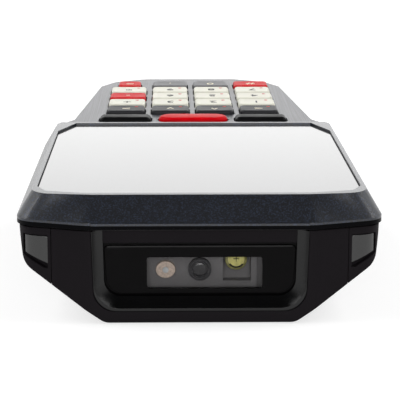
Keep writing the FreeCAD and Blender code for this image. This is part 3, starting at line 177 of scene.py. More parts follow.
@dataclass(frozen=True)
class Finish:
    """A surface finish: its colour, its gloss and the grain that the mould or tool left."""

    name: str
    colour: str
    roughness: float
    metallic: float = 0.0
    ior: float = 1.5
    specular: float = 0.5
    grain_mm: float = 0.4
    grain_depth: float = 0.01
    mottle: float = 0.08
    mottle_mm: float = 5.0
    edge: float = 0.2
    coat: float = 0.0
    coat_roughness: float = 0.12
    alpha: float = 1.0

    def material(self) -> bpy.types.Material:
        """Return this finish's material, made on first use."""
        found = bpy.data.materials.get(self.name)
        if found:
            return found
        made = bpy.data.materials.new(self.name)
        made.use_nodes = True
        tree = made.node_tree
        shader = tree.nodes["Principled BSDF"]
        values = {
            "Roughness": self.roughness, "Metallic": self.metallic, "Coat Weight": self.coat,
            "Coat Roughness": self.coat_roughness, "Alpha": self.alpha,
        }
        if not self.metallic:
            values |= {"IOR": self.ior, "Specular IOR Level": self.specular}
        feed(tree, shader, values)
        place = add_node(tree, "TexCoord").outputs["Object"]
        self.colour_in(tree, shader, place)
        self.relief(tree, shader, place)
        return made

    def relief(self, tree: Tree, shader: Node, place: Socket) -> None:
        """Round the sharp edges a little and add the fine grain of the mould.

        Args:
            tree: The material's nodes.
            shader: Its principled shader.
            place: Object coordinates in metres.
        """
        edges = add_node(tree, "Bevel", {"samples": 4}, {"Radius": self.edge * MM})
        inputs = {"Vector": place, "Scale": 1 / (self.grain_mm * MM), "Detail": 3.0}
        grain = add_node(tree, "TexNoise", None, inputs)
        inputs = {
            "Strength": 1.0, "Distance": self.grain_depth * MM,
            "Height": grain.outputs[0], "Normal": edges.outputs[0],
        }
        bump = add_node(tree, "Bump", None, inputs)
        feed(tree, shader, {"Normal": bump.outputs[0]})

    def colour_in(self, tree: Tree, shader: Node, place: Socket) -> None:
        """Vary the colour and the gloss a little, as moulding and handling do.

        Args:
            tree: The material's nodes.
            shader: Its principled shader.
            place: Object coordinates in metres.
        """
        inputs = {"Vector": place, "Scale": 1 / (self.mottle_mm * MM), "Detail": 4.0}
        patches = add_node(tree, "TexNoise", None, inputs).outputs[0]
        stops = (0.35, 1 - self.mottle), (0.65, 1 + self.mottle)
        tinted = shaded(tree, patches, self.colour, stops)
        smooth, rough = (self.roughness * share for share in GLOSS_SHARES)
        span = {0: patches, 1: 0.3, 2: 0.7, 3: smooth, 4: rough}
        gloss = add_node(tree, "MapRange", None, span)
        feed(tree, shader, {"Base Color": tinted, "Roughness": gloss.outputs[0]})


@dataclass(frozen=True)
class CoverPaint(Finish):
    """Satin flake paint, the brushed film round the keys, and painted shade: a nearly black, dull
    band below the seam in place of the gap's shadow.
    """

    flake: str = "4a5264"
    flake_mm: float = 0.2
    flake_share: float = 0.55
    flake_metal: float = 0.6
    film: str = "4a4b50"
    film_near: float = 4.5
    film_low: float = 25.55
    film_specular: float = 0.25
    brush_mm: float = 0.25
    brush_run: float = 30.0
    # Painted shade: below this height the cover is coloured nearly black and dull, in place of the
    # shadow in the seam's gap.
    seam_shade: str = "08080a"
    seam_shade_top: float = 20.55
    seam_shade_specular: float = 0.03

    def colour_in(self, tree: Tree, shader: Node, place: Socket) -> None:
        """Scatter bright flakes in the paint, brush the film, and colour the edge below the seam
        nearly black as painted shade of the gap.
        """
        spot = add_node(tree, "SeparateXYZ", None, {0: place})
        tests = [
            add_node(tree, "Math", {"operation": "GREATER_THAN"}, {0: spot.outputs[row], 1: at})
            for row, at in ((1, self.film_near * MM), (2, self.film_low * MM))
        ]
        both = {0: tests[0].outputs[0], 1: tests[1].outputs[0]}
        on_film = add_node(tree, "Math", {"operation": "MULTIPLY"}, both).outputs[0]
        # Painted shade: the band below the seam is coloured nearly black, with almost no
        # reflection.
        test = {0: spot.outputs[2], 1: self.seam_shade_top * MM}
        in_seam_shade = add_node(tree, "Math", {"operation": "LESS_THAN"}, test).outputs[0]
        lit, paint = self.flakes(tree, place)
        choice = {0: on_film, 6: paint, 7: self.brushed(tree, place)}
        covered = add_node(tree, "Mix", {"data_type": "RGBA"}, choice)
        choice = {0: in_seam_shade, 6: covered.outputs[2], 7: linear(self.seam_shade)}
        whole = add_node(tree, "Mix", {"data_type": "RGBA"}, choice)
        either = {0: on_film, 1: in_seam_shade}
        plain = add_node(tree, "Math", {"operation": "MAXIMUM"}, either).outputs[0]
        span = {0: plain, 3: self.coat, 4: 0.0}
        coat = add_node(tree, "MapRange", None, span)
        span = {0: on_film, 3: self.specular, 4: self.film_specular}
        above = add_node(tree, "MapRange", None, span)
        span = {0: in_seam_shade, 3: above.outputs[0], 4: self.seam_shade_specular}
        level = add_node(tree, "MapRange", None, span)
        painted = add_node(tree, "Math", {"operation": "SUBTRACT"}, {0: lit, 1: plain})
        metal = {0: painted.outputs[0], 1: 0.0}
        shown = add_node(tree, "Math", {"operation": "MAXIMUM"}, metal)
        values = {
            "Base Color": whole.outputs[2], "Coat Weight": coat.outputs[0],
            "Specular IOR Level": level.outputs[0], "Metallic": shown.outputs[0],
        }
        feed(tree, shader, values)

    def flakes(self, tree: Tree, place: Socket) -> tuple[Socket, Socket]:
        """Return how much flake shows at each spot, and the paint's colour with its flakes."""
        inputs = {"Vector": place, "Scale": 1 / (self.flake_mm * MM)}
        cells = add_node(tree, "TexVoronoi", None, inputs)
        pick = add_node(tree, "SeparateColor", None, {0: cells.outputs["Color"]})
        span = {0: pick.outputs[0], 1: self.flake_share, 2: 1.0, 3: 0.0, 4: self.flake_metal}
        lit = add_node(tree, "MapRange", None, span).outputs[0]
        choice = {0: lit, 6: linear(self.colour), 7: linear(self.flake)}
        return lit, add_node(tree, "Mix", {"data_type": "RGBA"}, choice).outputs[2]

    def brushed(self, tree: Tree, place: Socket) -> Socket:
        """Return the film's colour, with fine lines along the terminal."""
        fine = Vector((1 / self.brush_mm, 1 / self.brush_run, 1 / self.brush_mm)) / MM
        stretch = add_node(tree, "Mapping", None, {"Vector": place, "Scale": fine})
        lines = add_node(tree, "TexNoise", None, {"Vector": stretch.outputs[0], "Scale": 1.0})
        return shaded(tree, lines.outputs[0], self.film, ((0.3, 0.6), (0.7, 1.5)))


@dataclass(frozen=True)
class ScreenGlass(Finish):
    """Cover glass: black print round its edge, and the dark display behind its middle."""

    screen: str = "15181b"
    half: tuple[float, float] = (27.0, 36.0)
    middle: float = -38.8

    def colour_in(self, tree: Tree, shader: Node, place: Socket) -> None:
        """Show the slightly paler display inside its printed border, under fine dust."""
        spot = add_node(tree, "SeparateXYZ", None, {0: place})
        away = {0: spot.outputs[1], 1: self.middle * MM}
        along = add_node(tree, "Math", {"operation": "SUBTRACT"}, away)
        inside = []
        for offset, half in zip((spot.outputs[0], along.outputs[0]), self.half):
            size = add_node(tree, "Math", {"operation": "ABSOLUTE"}, {0: offset})
            limit = {0: size.outputs[0], 1: half * MM}
            inside.append(add_node(tree, "Math", {"operation": "LESS_THAN"}, limit))
        both = {0: inside[0].outputs[0], 1: inside[1].outputs[0]}
        lit = add_node(tree, "Math", {"operation": "MULTIPLY"}, both)
        choice = {0: lit.outputs[0], 6: linear(self.colour), 7: linear(self.screen)}
        shade = add_node(tree, "Mix", {"data_type": "RGBA"}, choice)
        inputs = {"Vector": place, "Scale": 1 / (self.mottle_mm * MM), "Detail": 8.0}
        dust = add_node(tree, "TexNoise", None, inputs)
        span = {0: dust.outputs[0], 1: 0.35, 2: 0.75, 3: self.roughness, 4: self.roughness * 3}
        gloss = add_node(tree, "MapRange", None, span)
        feed(tree, shader, {"Base Color": shade.outputs[2], "Roughness": gloss.outputs[0]})


# Sprayed two-coat paint over moulded plastic: dark blue-grey that sparkles where it is near.
# The real flakes are about 0.05 mm and are drawn four times as coarse so that they show.
PAINT = CoverPaint("satin_flake_paint", "0e1016", 0.36, grain_depth=0.02, coat=0.2)
# Soft-touch coated plastic with a fine moulded grain: nearly black, no sharp reflection.
SOFT_TOUCH = Finish("soft_touch_coating", "171417", 0.6, specular=0.07, edge=0.35, grain_mm=0.3)
# Polished black ABS: a deep black that mirrors the lights.
PIANO_BLACK = Finish("polished_black_abs", "040405", 0.24, specular=0.34, edge=0.12,
                     grain_depth=0.0)
# The latch panels, of the same ABS with a hard lacquer: brighter where they turn away.
LACQUER = Finish("lacquered_black_abs", "070707", 0.25, specular=0.5, grain_depth=0.0, coat=0.4)
# The two long keys: black ABS, nearly without a sheen.
DEEP_BLACK = Finish("black_key_abs", "0b0b0c", 0.45, specular=0.06, grain_depth=0.004)
# Cover glass with black print on its back: mirror gloss at a low angle.
COVER_GLASS = ScreenGlass("printed_cover_glass", "08090a", 0.05, edge=0.15, grain_depth=0.0,
                          mottle_mm=0.6)
# Clear cast acrylic: nearly all of what lies behind shows through.
CLEAR_ACRYLIC = Finish("clear_cast_acrylic", "101011", 0.04, specular=0.1, edge=0.05, alpha=0.12)
# Black print on the back of the same acrylic.
PRINTED_ACRYLIC = Finish("black_printed_acrylic", "0b0a0b", 0.1, specular=0.05, grain_depth=0.0)
# Injection moulded ABS keys: satin, with a fine spark-eroded texture.
IVORY = Finish("ivory_abs", "dddbce", 0.45, specular=0.15, grain_depth=0.006, mottle=0.04)
RED = Finish("red_abs", "c8000e", 0.45, specular=0.05, grain_depth=0.005, mottle_mm=3)
CHARCOAL = Finish("charcoal_abs", "2b2b2e", 0.45, specular=0.12, grain_depth=0.006)
GREY = Finish("grey_abs", "6c6c6e", 0.45, specular=0.12, grain_depth=0.006)
# Pad-printed ink: a thin matte film.
INK = Finish("pad_printed_black_ink", "1c1c20", 0.55, edge=0.01, grain_depth=0.0)
CREAM_INK = Finish("pad_printed_cream_ink", "efe6cd", 0.55, edge=0.01, grain_depth=0.0, mottle=0.03)
RED_INK = Finish("pad_printed_red_ink", "c8352c", 0.55, edge=0.01, grain_depth=0.0)
# Moulded rubber: dull, and slightly uneven.
RUBBER = Finish("moulded_rubber", "191819", 0.7, specular=0.25, grain_depth=0.02)
# Glass-filled nylon: hard, dark and a little patchy from its fibres.
NYLON = Finish("glass_filled_nylon", "202022", 0.5, specular=0.3, grain_mm=0.3, grain_depth=0.015)
# Moulded grey housing of the scan engine: dull, so that no light strays inside.
ENGINE = Finish("moulded_engine_housing", "848283", 0.6, specular=0.2, grain_mm=0.2, mottle=0.06)
# Silicone sheet: milky and soft.
SILICONE = Finish("grey_silicone", "b9babd", 0.5, grain_mm=0.6)
# Solder mask over copper: glossy green with a faint pattern of tracks.
BOARD = Finish("green_solder_mask", "0f3d22", 0.3, mottle=0.25, mottle_mm=2)
# Die-cast magnesium: dull silver with a cast skin.
MAGNESIUM = Finish("cast_magnesium", "a9abad", 0.5, metallic=1.0, grain_depth=0.03)
# Tin plate: bright, faintly crystalline.
TIN = Finish("tin_plate", "c4c4c2", 0.32, metallic=1.0, mottle=0.1, mottle_mm=2)
# Ground steel pins: bright and slightly brushed.
STEEL = Finish("ground_steel", "b8b8b8", 0.22, metallic=1.0, mottle_mm=2)
# Blackened steel screws: dark, with a metal sheen.
BLACK_STEEL = Finish("black_oxide_steel", "2b2b2c", 0.38, metallic=1.0, mottle=0.15, mottle_mm=1)
# Polished metal foil on the back of the display module.
FOIL = Finish("display_back_foil", "9b9ca0", 0.35, metallic=1.0, mottle=0.05)
# Sintered bronze round the aiming light: pinkish, with visible grains.
BRONZE = Finish("sintered_bronze", "e2cdbd", 0.5, grain_mm=0.3, grain_depth=0.03, mottle=0.2,
                mottle_mm=0.5)
# Frosted lens: pale and soft.
PALE_LENS = Finish("frosted_lens", "d5d8da", 0.3, edge=0.05, mottle=0.03)
# Multi-coated lens glass: almost black, with a small bright reflection.
LENS = Finish("coated_lens_glass", "3a393b", 0.15, ior=1.6, specular=0.3, edge=0.05)
# Anodised lens barrel: matte dark grey.
BARREL = Finish("anodised_lens_barrel", "4a494b", 0.5, specular=0.2, edge=0.05)
# Phosphor under clear resin: yellow, and paler where the die shines through.
PHOSPHOR = Finish("phosphor_resin", "aca86a", 0.2, edge=0.05, mottle=0.25, mottle_mm=0.8)
PALE_PHOSPHOR = Finish("pale_phosphor_resin", "efe68a", 0.2, edge=0.05, mottle=0.15, mottle_mm=0.8)

CAD_FINISHES: dict[str, Finish] = {
    "cover_paint": PAINT,
    "display_glass": COVER_GLASS,
    "black_rubber": RUBBER,
    "display_back": FOIL,
    "silicone": SILICONE,
    "board_green": BOARD,
    "soft_black": SOFT_TOUCH,
    "gloss_black": PIANO_BLACK,
    "window_tint": PRINTED_ACRYLIC,
    "dark_rubber": RUBBER,
    "red_plastic": RED,
    "dark_plastic": NYLON,
    "magnesium": MAGNESIUM,
    "tin_plate": TIN,
    "lens_ring": BARREL,
    "aimer_bronze": BRONZE,
    "led_yellow": PHOSPHOR,
    "pack_black": NYLON,
    "steel": STEEL,
    "screw_black": BLACK_STEEL,
    "ivory_key": IVORY,
    "dark_key": CHARCOAL,
    "grey_key": GREY,
}


def as_mesh(name: str, shape: Shape) -> bpy.types.Mesh:
    """Turn a shape into a mesh, and use it up."""
    mesh = bpy.data.meshes.new(name)
    shape.to_mesh(mesh)
    shape.free()
    return mesh


def placed(name: str, data: bpy.types.ID) -> bpy.types.Object:
    """Return a new object in the scene, at the origin."""
    made = bpy.data.objects.new(name, data)
    bpy.context.scene.collection.objects.link(made)
    return made


def piece(
    name: str,
    shape: Shape,
    finish: Finish,
    replaces: Sequence[str] = (),
    body: str = Body.CASE.value,
) -> None:
    """Make one piece from a shape in metres, in the frame of the CAD.

    Args:
        name: The piece's name.
        shape: Its closed shape, which this call uses up.
        finish: What it is made of.
        replaces: CAD nodes that it stands for.
        body: The body that it rides on.
    """
    bmesh.ops.recalc_face_normals(shape, faces=shape.faces)
    mesh = as_mesh(name, shape)
    mesh.shade_smooth()
    mesh.set_sharp_from_angle(angle=math.radians(CREASE_DEG))
    mesh.materials.append(finish.material())
    made = placed(name, mesh)
    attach(made, body)
    if replaces:
        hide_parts(*replaces)
    LOG.info("%s: %d faces, rides on %s", name, len(mesh.polygons), body)


def ends(node: str) -> tuple[Vector, Vector]:
    """Return the lowest and highest corner of a CAD node in millimetres."""
    low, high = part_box(node)
    return low / MM, high / MM


def copied(node: str) -> Shape:
    """Return a joined-up copy of a CAD node's mesh."""
    shape = bmesh.new()
    shape.from_mesh(frame["nodes"][node].data)
    bmesh.ops.remove_doubles(shape, verts=shape.verts, dist=SAME_SPOT)
    return shape


def add_box(shape: Shape, x: Sequence[float], y: Sequence[float], z: Sequence[float]) -> None:
    """Add a box between two places along each axis to a shape."""
    verts = bmesh.ops.create_cube(shape, size=1.0)["verts"]
    size = Vector((x[1] - x[0], y[1] - y[0], z[1] - z[0])) * MM
    middle = Vector((x[0] + x[1], y[0] + y[1], z[0] + z[1])) * (MM / 2)
    bmesh.ops.scale(shape, vec=size, verts=verts)
    bmesh.ops.translate(shape, vec=middle, verts=verts)


def add_shape(shape: Shape, more: Shape) -> None:
    """Add another shape, which this call uses up."""
    mesh = as_mesh("added", more)
    shape.from_mesh(mesh)
    bpy.data.meshes.remove(mesh)


def box(x: Sequence[float], y: Sequence[float], z: Sequence[float]) -> Shape:
    """Return a box between two places along each axis."""
    shape = bmesh.new()
    add_box(shape, x, y, z)
    return shape


def slab(
    corners: Sequence[tuple[float, float]], rounds: Sequence[float], near: float, far: float
) -> Shape:
    """Return a plate that is drawn as seen from the head and pulled along Y.

    Args:
        corners: The X and Z of each corner of its outline.
        rounds: The radius at each corner.
        near: The Y that it starts at.
        far: The Y that it ends at.
    """
    shape = bmesh.new()
    verts = [shape.verts.new((x * MM, near * MM, z * MM)) for x, z in corners]
    shape.faces.new(verts)
    for vert, radius in zip(verts, rounds):
        if radius:
            bmesh.ops.bevel(
                shape, geom=[vert], offset=radius * MM, offset_type="OFFSET", segments=10,
                profile=0.5, affect="VERTICES", material=-1,
            )
    pulled = bmesh.ops.extrude_face_region(shape, geom=list(shape.faces))["geom"]
    moved = [part for part in pulled if isinstance(part, bmesh.types.BMVert)]
    bmesh.ops.translate(shape, vec=(0, (far - near) * MM, 0), verts=moved)
    bmesh.ops.recalc_face_normals(shape, faces=shape.faces)
    return shape


def rod(x: float, z: float, radius: float, near: float, far: float) -> Shape:
    """Return a round rod along Y."""
    shape = bmesh.new()
    bmesh.ops.create_cone(
        shape, cap_ends=True, cap_tris=False, segments=ROD_SIDES, radius1=radius * MM,
        radius2=radius * MM, depth=(far - near) * MM,
    )
    bmesh.ops.rotate(shape, verts=shape.verts, matrix=Matrix.Rotation(math.pi / 2, 3, "X"))
    middle = Vector((x, (near + far) / 2, z)) * MM
    bmesh.ops.translate(shape, verts=shape.verts, vec=middle)
    bmesh.ops.recalc_face_normals(shape, faces=shape.faces)
    return shape


def facing(shape: Shape, way: Vector) -> bmesh.types.BMFace:
    """Return the face that lies furthest along a direction."""
    return max(shape.faces, key=lambda face: (face.calc_center_median().dot(way), face.calc_area()))


def step_in(shape: Shape, face: bmesh.types.BMFace, steps: Iterable[tuple[float, float]]) -> None:
    """Shrink a face by steps, each a width inwards and a height along its normal.

    The face is scaled along each axis about its middle, so that rounded corners never cross.

    Args:
        shape: The shape that holds the face.
        face: A face that looks along an axis.
        steps: A width and a height for each step.
    """
    for width, height in steps:
        bmesh.ops.inset_region(shape, faces=[face], use_boundary=True, thickness=0.0, depth=0.0)
        points = [vert.co for vert in face.verts]
        low = Vector([min(p[row] for p in points) for row in range(3)])
        high = Vector([max(p[row] for p in points) for row in range(3)])
        share = [
            1 - 2 * width * MM / (b - a) if b - a > SAME_SPOT else 1.0 for a, b in zip(low, high)
        ]
        away = Matrix.Translation(-(low + high) / 2)
        verts = list(face.verts)
        bmesh.ops.scale(shape, vec=share, space=away, verts=verts)
        bmesh.ops.translate(shape, vec=face.normal * (height * MM), verts=verts)


def domed(shape: Shape, radius: float, height: float) -> Shape:
    """Return the shape with its round face towards the head raised to a dome."""
    turns = [math.radians(DOME_DEG) * place / DOME_STEPS for place in range(DOME_STEPS + 1)]
    steps = [
        (radius * (math.cos(a) - math.cos(b)), height * (math.sin(b) - math.sin(a)))
        for a, b in zip(turns, turns[1:])
    ]
    step_in(shape, facing(shape, TO_HEAD), steps)
    return shape


def bevel(
    shape: Shape, chosen: Callable[[bmesh.types.BMEdge], bool], radius: float, segments: int
) -> None:
    """Round the edges that a rule picks."""
    bmesh.ops.bevel(
        shape, geom=[edge for edge in shape.edges if chosen(edge)], offset=radius * MM,
        offset_type="OFFSET", segments=segments, profile=0.5, affect="EDGES", material=-1,
        clamp_overlap=True,
    )


def round_face(shape: Shape, way: Vector, radius: float, segments: int) -> None:
    """Round the edges of the face that lies furthest along a direction."""
    rim = set(facing(shape, way).edges)
    bevel(shape, lambda edge: edge in rim, radius, segments)


def along(axis: Axis) -> Callable[[bmesh.types.BMEdge], bool]:
    """Return the rule that picks the edges that run along an axis."""

    def rule(edge: bmesh.types.BMEdge) -> bool:
        run = edge.verts[1].co - edge.verts[0].co
        return abs(run[axis.value]) > 0.99 * run.length

    return rule


def cut(base: Shape, tool: Shape, how: str = "DIFFERENCE") -> Shape:
    """Cut one closed shape by another with an exact boolean.

    Args:
        base: The shape that stays; it is used up.
        tool: The shape that cuts it; it is used up.
        how: DIFFERENCE takes the tool away, and INTERSECT keeps what lies inside it.

    Returns:
        What is left.
    """
    pair = []
    for name, shape in (("cut_base", base), ("cut_tool", tool)):
        bmesh.ops.recalc_face_normals(shape, faces=shape.faces)
        pair.append(placed(name, as_mesh(name, shape)))
    step = pair[0].modifiers.new("cut", "BOOLEAN")
    step.operation = how
    step.solver = "EXACT"
    step.object = pair[1]
    rest = bmesh.new()
    rest.from_mesh(pair[0].evaluated_get(bpy.context.evaluated_depsgraph_get()).data)
    for each in pair:
        mesh = each.data
        bpy.data.objects.remove(each)
        bpy.data.meshes.remove(mesh)
    return rest


def round_part(node: str) -> tuple[float, float, float, float, float]:
    """Return a round CAD node's middle in X and Z, its radius, and its two ends along Y."""
    low, high = ends(node)
    return (low.x + high.x) / 2, (low.z + high.z) / 2, (high.x - low.x) / 2, low.y, high.y


@dataclass
class Keypad:
    """The 23 keycaps and the figures printed on them."""

    corner: float = 1.2
    scan_corner: float = 3.8
    corner_segments: int = 8
    flange: float = 0.5
    flange_thick: float = 0.8
    edge: float = 0.6
    long_edge: float = 1.2
    edge_segments: int = 5
    dish: tuple[tuple[float, float], ...] = ((0.5, -0.06), (0.4, -0.05), (0.3, -0.02))
    ink_thick: float = 0.05
    figure: float = 4.4
    dot_radius: float = 0.45
    dot_offset: float = 2.7

    # Read by someone who holds the head away from them, left to right.
    FIGURES = (
        ("<", "^", "v", ">"),
        ("1", "2", "3", "+"),
        ("4", "5", "6", "-"),
        ("7", "8", "9", "*"),
        ("#", "0", ".", "="),
    )

    def build(self) -> None:
        """Make every keycap and its figure."""
        slots = {part["node"]: part["material_slot"] for part in frame["record"]["subparts"]}
        for node, thing in sorted(frame["nodes"].items()):
            if thing["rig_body"] == node:
                self.cap(node, slots[node])
        for row, figures in enumerate(self.FIGURES, start=1):
            for place, mark in enumerate(figures):
                node = f"key_row_{row}_column_{len(figures) - place}"
                self.print_on(node, mark, slots[node])

    def cap(self, node: str, slot: str) -> None:
        """Make one keycap: rounded, slightly dished, with the flange that the cover holds.

        Args:
            node: The CAD key that it stands for.
            slot: The record's slot for its colour.
        """
        low, high = ends(node)
        x = (low.x + self.flange, high.x - self.flange)
        y = (low.y + self.flange, high.y - self.flange)
        shape = box(x, y, (low.z, high.z))
        is_long = not node.startswith("key_row")
        corner = self.scan_corner if node == "scan_key" else self.corner
        bevel(shape, along(Axis.Z), corner, self.corner_segments)
        edge = self.long_edge if is_long else self.edge
        round_face(shape, UP, edge, self.edge_segments)
        if not is_long:
            step_in(shape, facing(shape, UP), self.dish)
        span = (low.x, high.x), (low.y, high.y), (low.z, low.z + self.flange_thick)
        add_box(shape, *span)
        finish = DEEP_BLACK if slot == "gloss_black" else CAD_FINISHES[slot]
        piece(f"{node}_cap", shape, finish, [node], node)

    def print_on(self, node: str, mark: str, slot: str) -> None:
        """Print one figure and a small coloured dot on a key.

        Args:
            node: The key.
            mark: Its figure.
            slot: The slot of the key's colour, which decides the ink.
        """
        low, high = ends(node)
        data = bpy.data.curves.new(f"{node}_outline", "FONT")
        data.body = mark
        data.size = self.figure * MM
        data.align_x = "CENTER"
        data.align_y = "CENTER"
        data.extrude = self.ink_thick * MM / 2
        loose = placed(f"{node}_outline", data)
        bpy.context.view_layer.update()
        mesh = bpy.data.meshes.new_from_object(loose)
        bpy.data.objects.remove(loose)
        shape = bmesh.new()
        shape.from_mesh(mesh)
        bpy.data.meshes.remove(mesh)
        bmesh.ops.remove_doubles(shape, verts=shape.verts, dist=SAME_INK_SPOT)
        bmesh.ops.rotate(shape, verts=shape.verts, matrix=Matrix.Rotation(math.pi, 3, "Z"))
        level = high.z + sum(height for _, height in self.dish) + self.ink_thick / 2
        middle = Vector(((low.x + high.x) / 2, (low.y + high.y) / 2, level)) * MM
        bmesh.ops.translate(shape, verts=shape.verts, vec=middle)
        ink = INK if slot == "ivory_key" else CREAM_INK
        piece(f"{node}_figure", shape, ink, body=node)
        if slot in ("ivory_key", "dark_key"):
            self.dot_on(node, middle)

    def dot_on(self, node: str, middle: Vector) -> None:
        """Print the small coloured dot beside a key's figure."""
        shape = bmesh.new()
        radius = self.dot_radius * MM
        bmesh.ops.create_cone(
            shape, cap_ends=True, cap_tris=False, segments=16, radius1=radius, radius2=radius,
            depth=self.ink_thick * MM,
        )
        aside = Vector((self.dot_offset, self.dot_offset, 0)) * MM
        bmesh.ops.translate(shape, verts=shape.verts, vec=middle + aside)
        piece(f"{node}_dot", shape, RED_INK, body=node)


@dataclass
class ScanNose:
    """The scan window in the head: its coved frame and its printed pane."""

    frame_low_half: float = 21.4
    frame_round: float = 4.5
    opening_top_half: float = 19.9
    opening_low_half: float = 19.3
    opening_low: float = 5.4
    opening_round: float = 3.2
    beyond: float = 1.0
    beyond_top: float = 30.2
    cove_steps: int = 6
    cove_wide: float = 2.2
    cove_sag_deg: float = 7.0
    clear_x: tuple[float, float] = (-10.8, 12.7)
    clear_z: tuple[float, float] = (6.8, 13.4)
    clear_round: float = 0.5
    pane_top_round: float = 1.0
    pane_low_half: float = 20.0
    pane_edge: float = 0.12
    groove_wide: float = 0.45
    groove_deep: float = 0.75

    def build(self) -> None:
        """Make the frame and the pane."""
        self.coved_frame()
        self.pane()

    def coved_frame(self) -> None:
        """Make the glossy U-shaped frame with its smooth hollow inner edge."""
        low, high = ends("window_frame")
        half, base = self.frame_low_half, low.z
        corners = [(-high.x, high.z), (high.x, high.z), (half, base), (-half, base)]
        rounds = (0, 0, self.frame_round, self.frame_round)
        plate = slab(corners, rounds, low.y, high.y)
        grow = self.cove_wide
        top, bottom = self.opening_top_half + grow, self.opening_low_half + grow
        sill = self.opening_low - grow
        corners = [(-top, self.beyond_top), (top, self.beyond_top), (bottom, sill), (-bottom, sill)]
        outer = self.opening_round + grow
        plug = slab(corners, (0, 0, outer, outer), low.y - self.beyond, low.y)
        back = facing(plug, TO_TAIL)
        for width, height in self.cove(high.y - low.y) + [(0.001, self.beyond)]:
            bmesh.ops.inset_region(
                plug, faces=[back], use_boundary=True, use_even_offset=True,
                thickness=width * MM, depth=height * MM,
            )
        shape = cut(plate, plug)
        piece("coved_frame", shape, PIANO_BLACK, ["window_frame"])

    def cove(self, deep: float) -> list[tuple[float, float]]:
        """Return the steps of a slope that sags a little below a straight bevel."""
        sag = math.radians(self.cove_sag_deg)
        turns = [
            math.pi / 4 + sag * (1 - 2 * (place + 0.5) / self.cove_steps)
            for place in range(self.cove_steps)
        ]
        wide = sum(math.cos(turn) for turn in turns)
        tall = sum(math.sin(turn) for turn in turns)
        return [
            (self.cove_wide * math.cos(turn) / wide, deep * math.sin(turn) / tall) for turn in turns
        ]

    def clear_hole(self, near: float, far: float) -> Shape:
        """Return the clear field's block between two places along Y."""
        left, right = self.clear_x
        bottom, top = self.clear_z
        corners = [(left, top), (right, top), (right, bottom), (left, bottom)]
        return slab(corners, (self.clear_round,) * 4, near, far)

    def pane(self) -> None:
        """Make the black printed pane with a groove round it, and its clear field."""
        low, high = ends("scan_window")
        near, far = low.y - self.beyond, high.y + self.beyond
        half = self.pane_low_half
        corners = [(-high.x, high.z), (high.x, high.z), (half, low.z), (-half, low.z)]
        lap_round = self.opening_round + high.x - self.opening_top_half
        rounds = (self.pane_top_round, self.pane_top_round, lap_round, lap_round)
        step = low.y + self.groove_deep
        shape = cut(slab(corners, rounds, step, high.y), self.clear_hole(near, far))
        gap = self.groove_wide
        top, bottom = self.opening_top_half - gap, self.opening_low_half - gap
        roof, sill = high.z - gap, self.opening_low + gap
        corners = [(-top, roof), (top, roof), (bottom, sill), (-bottom, sill)]
        rounds = (self.pane_top_round, self.pane_top_round, self.opening_round, self.opening_round)
        raised = slab(corners, rounds, low.y, (step + high.y) / 2)
        round_face(raised, TO_HEAD, self.pane_edge, 2)
        add_shape(shape, cut(raised, self.clear_hole(near, far)))
        piece("printed_pane", shape, PRINTED_ACRYLIC, ["scan_window"])
        piece("clear_field", self.clear_hole(low.y, high.y), CLEAR_ACRYLIC)


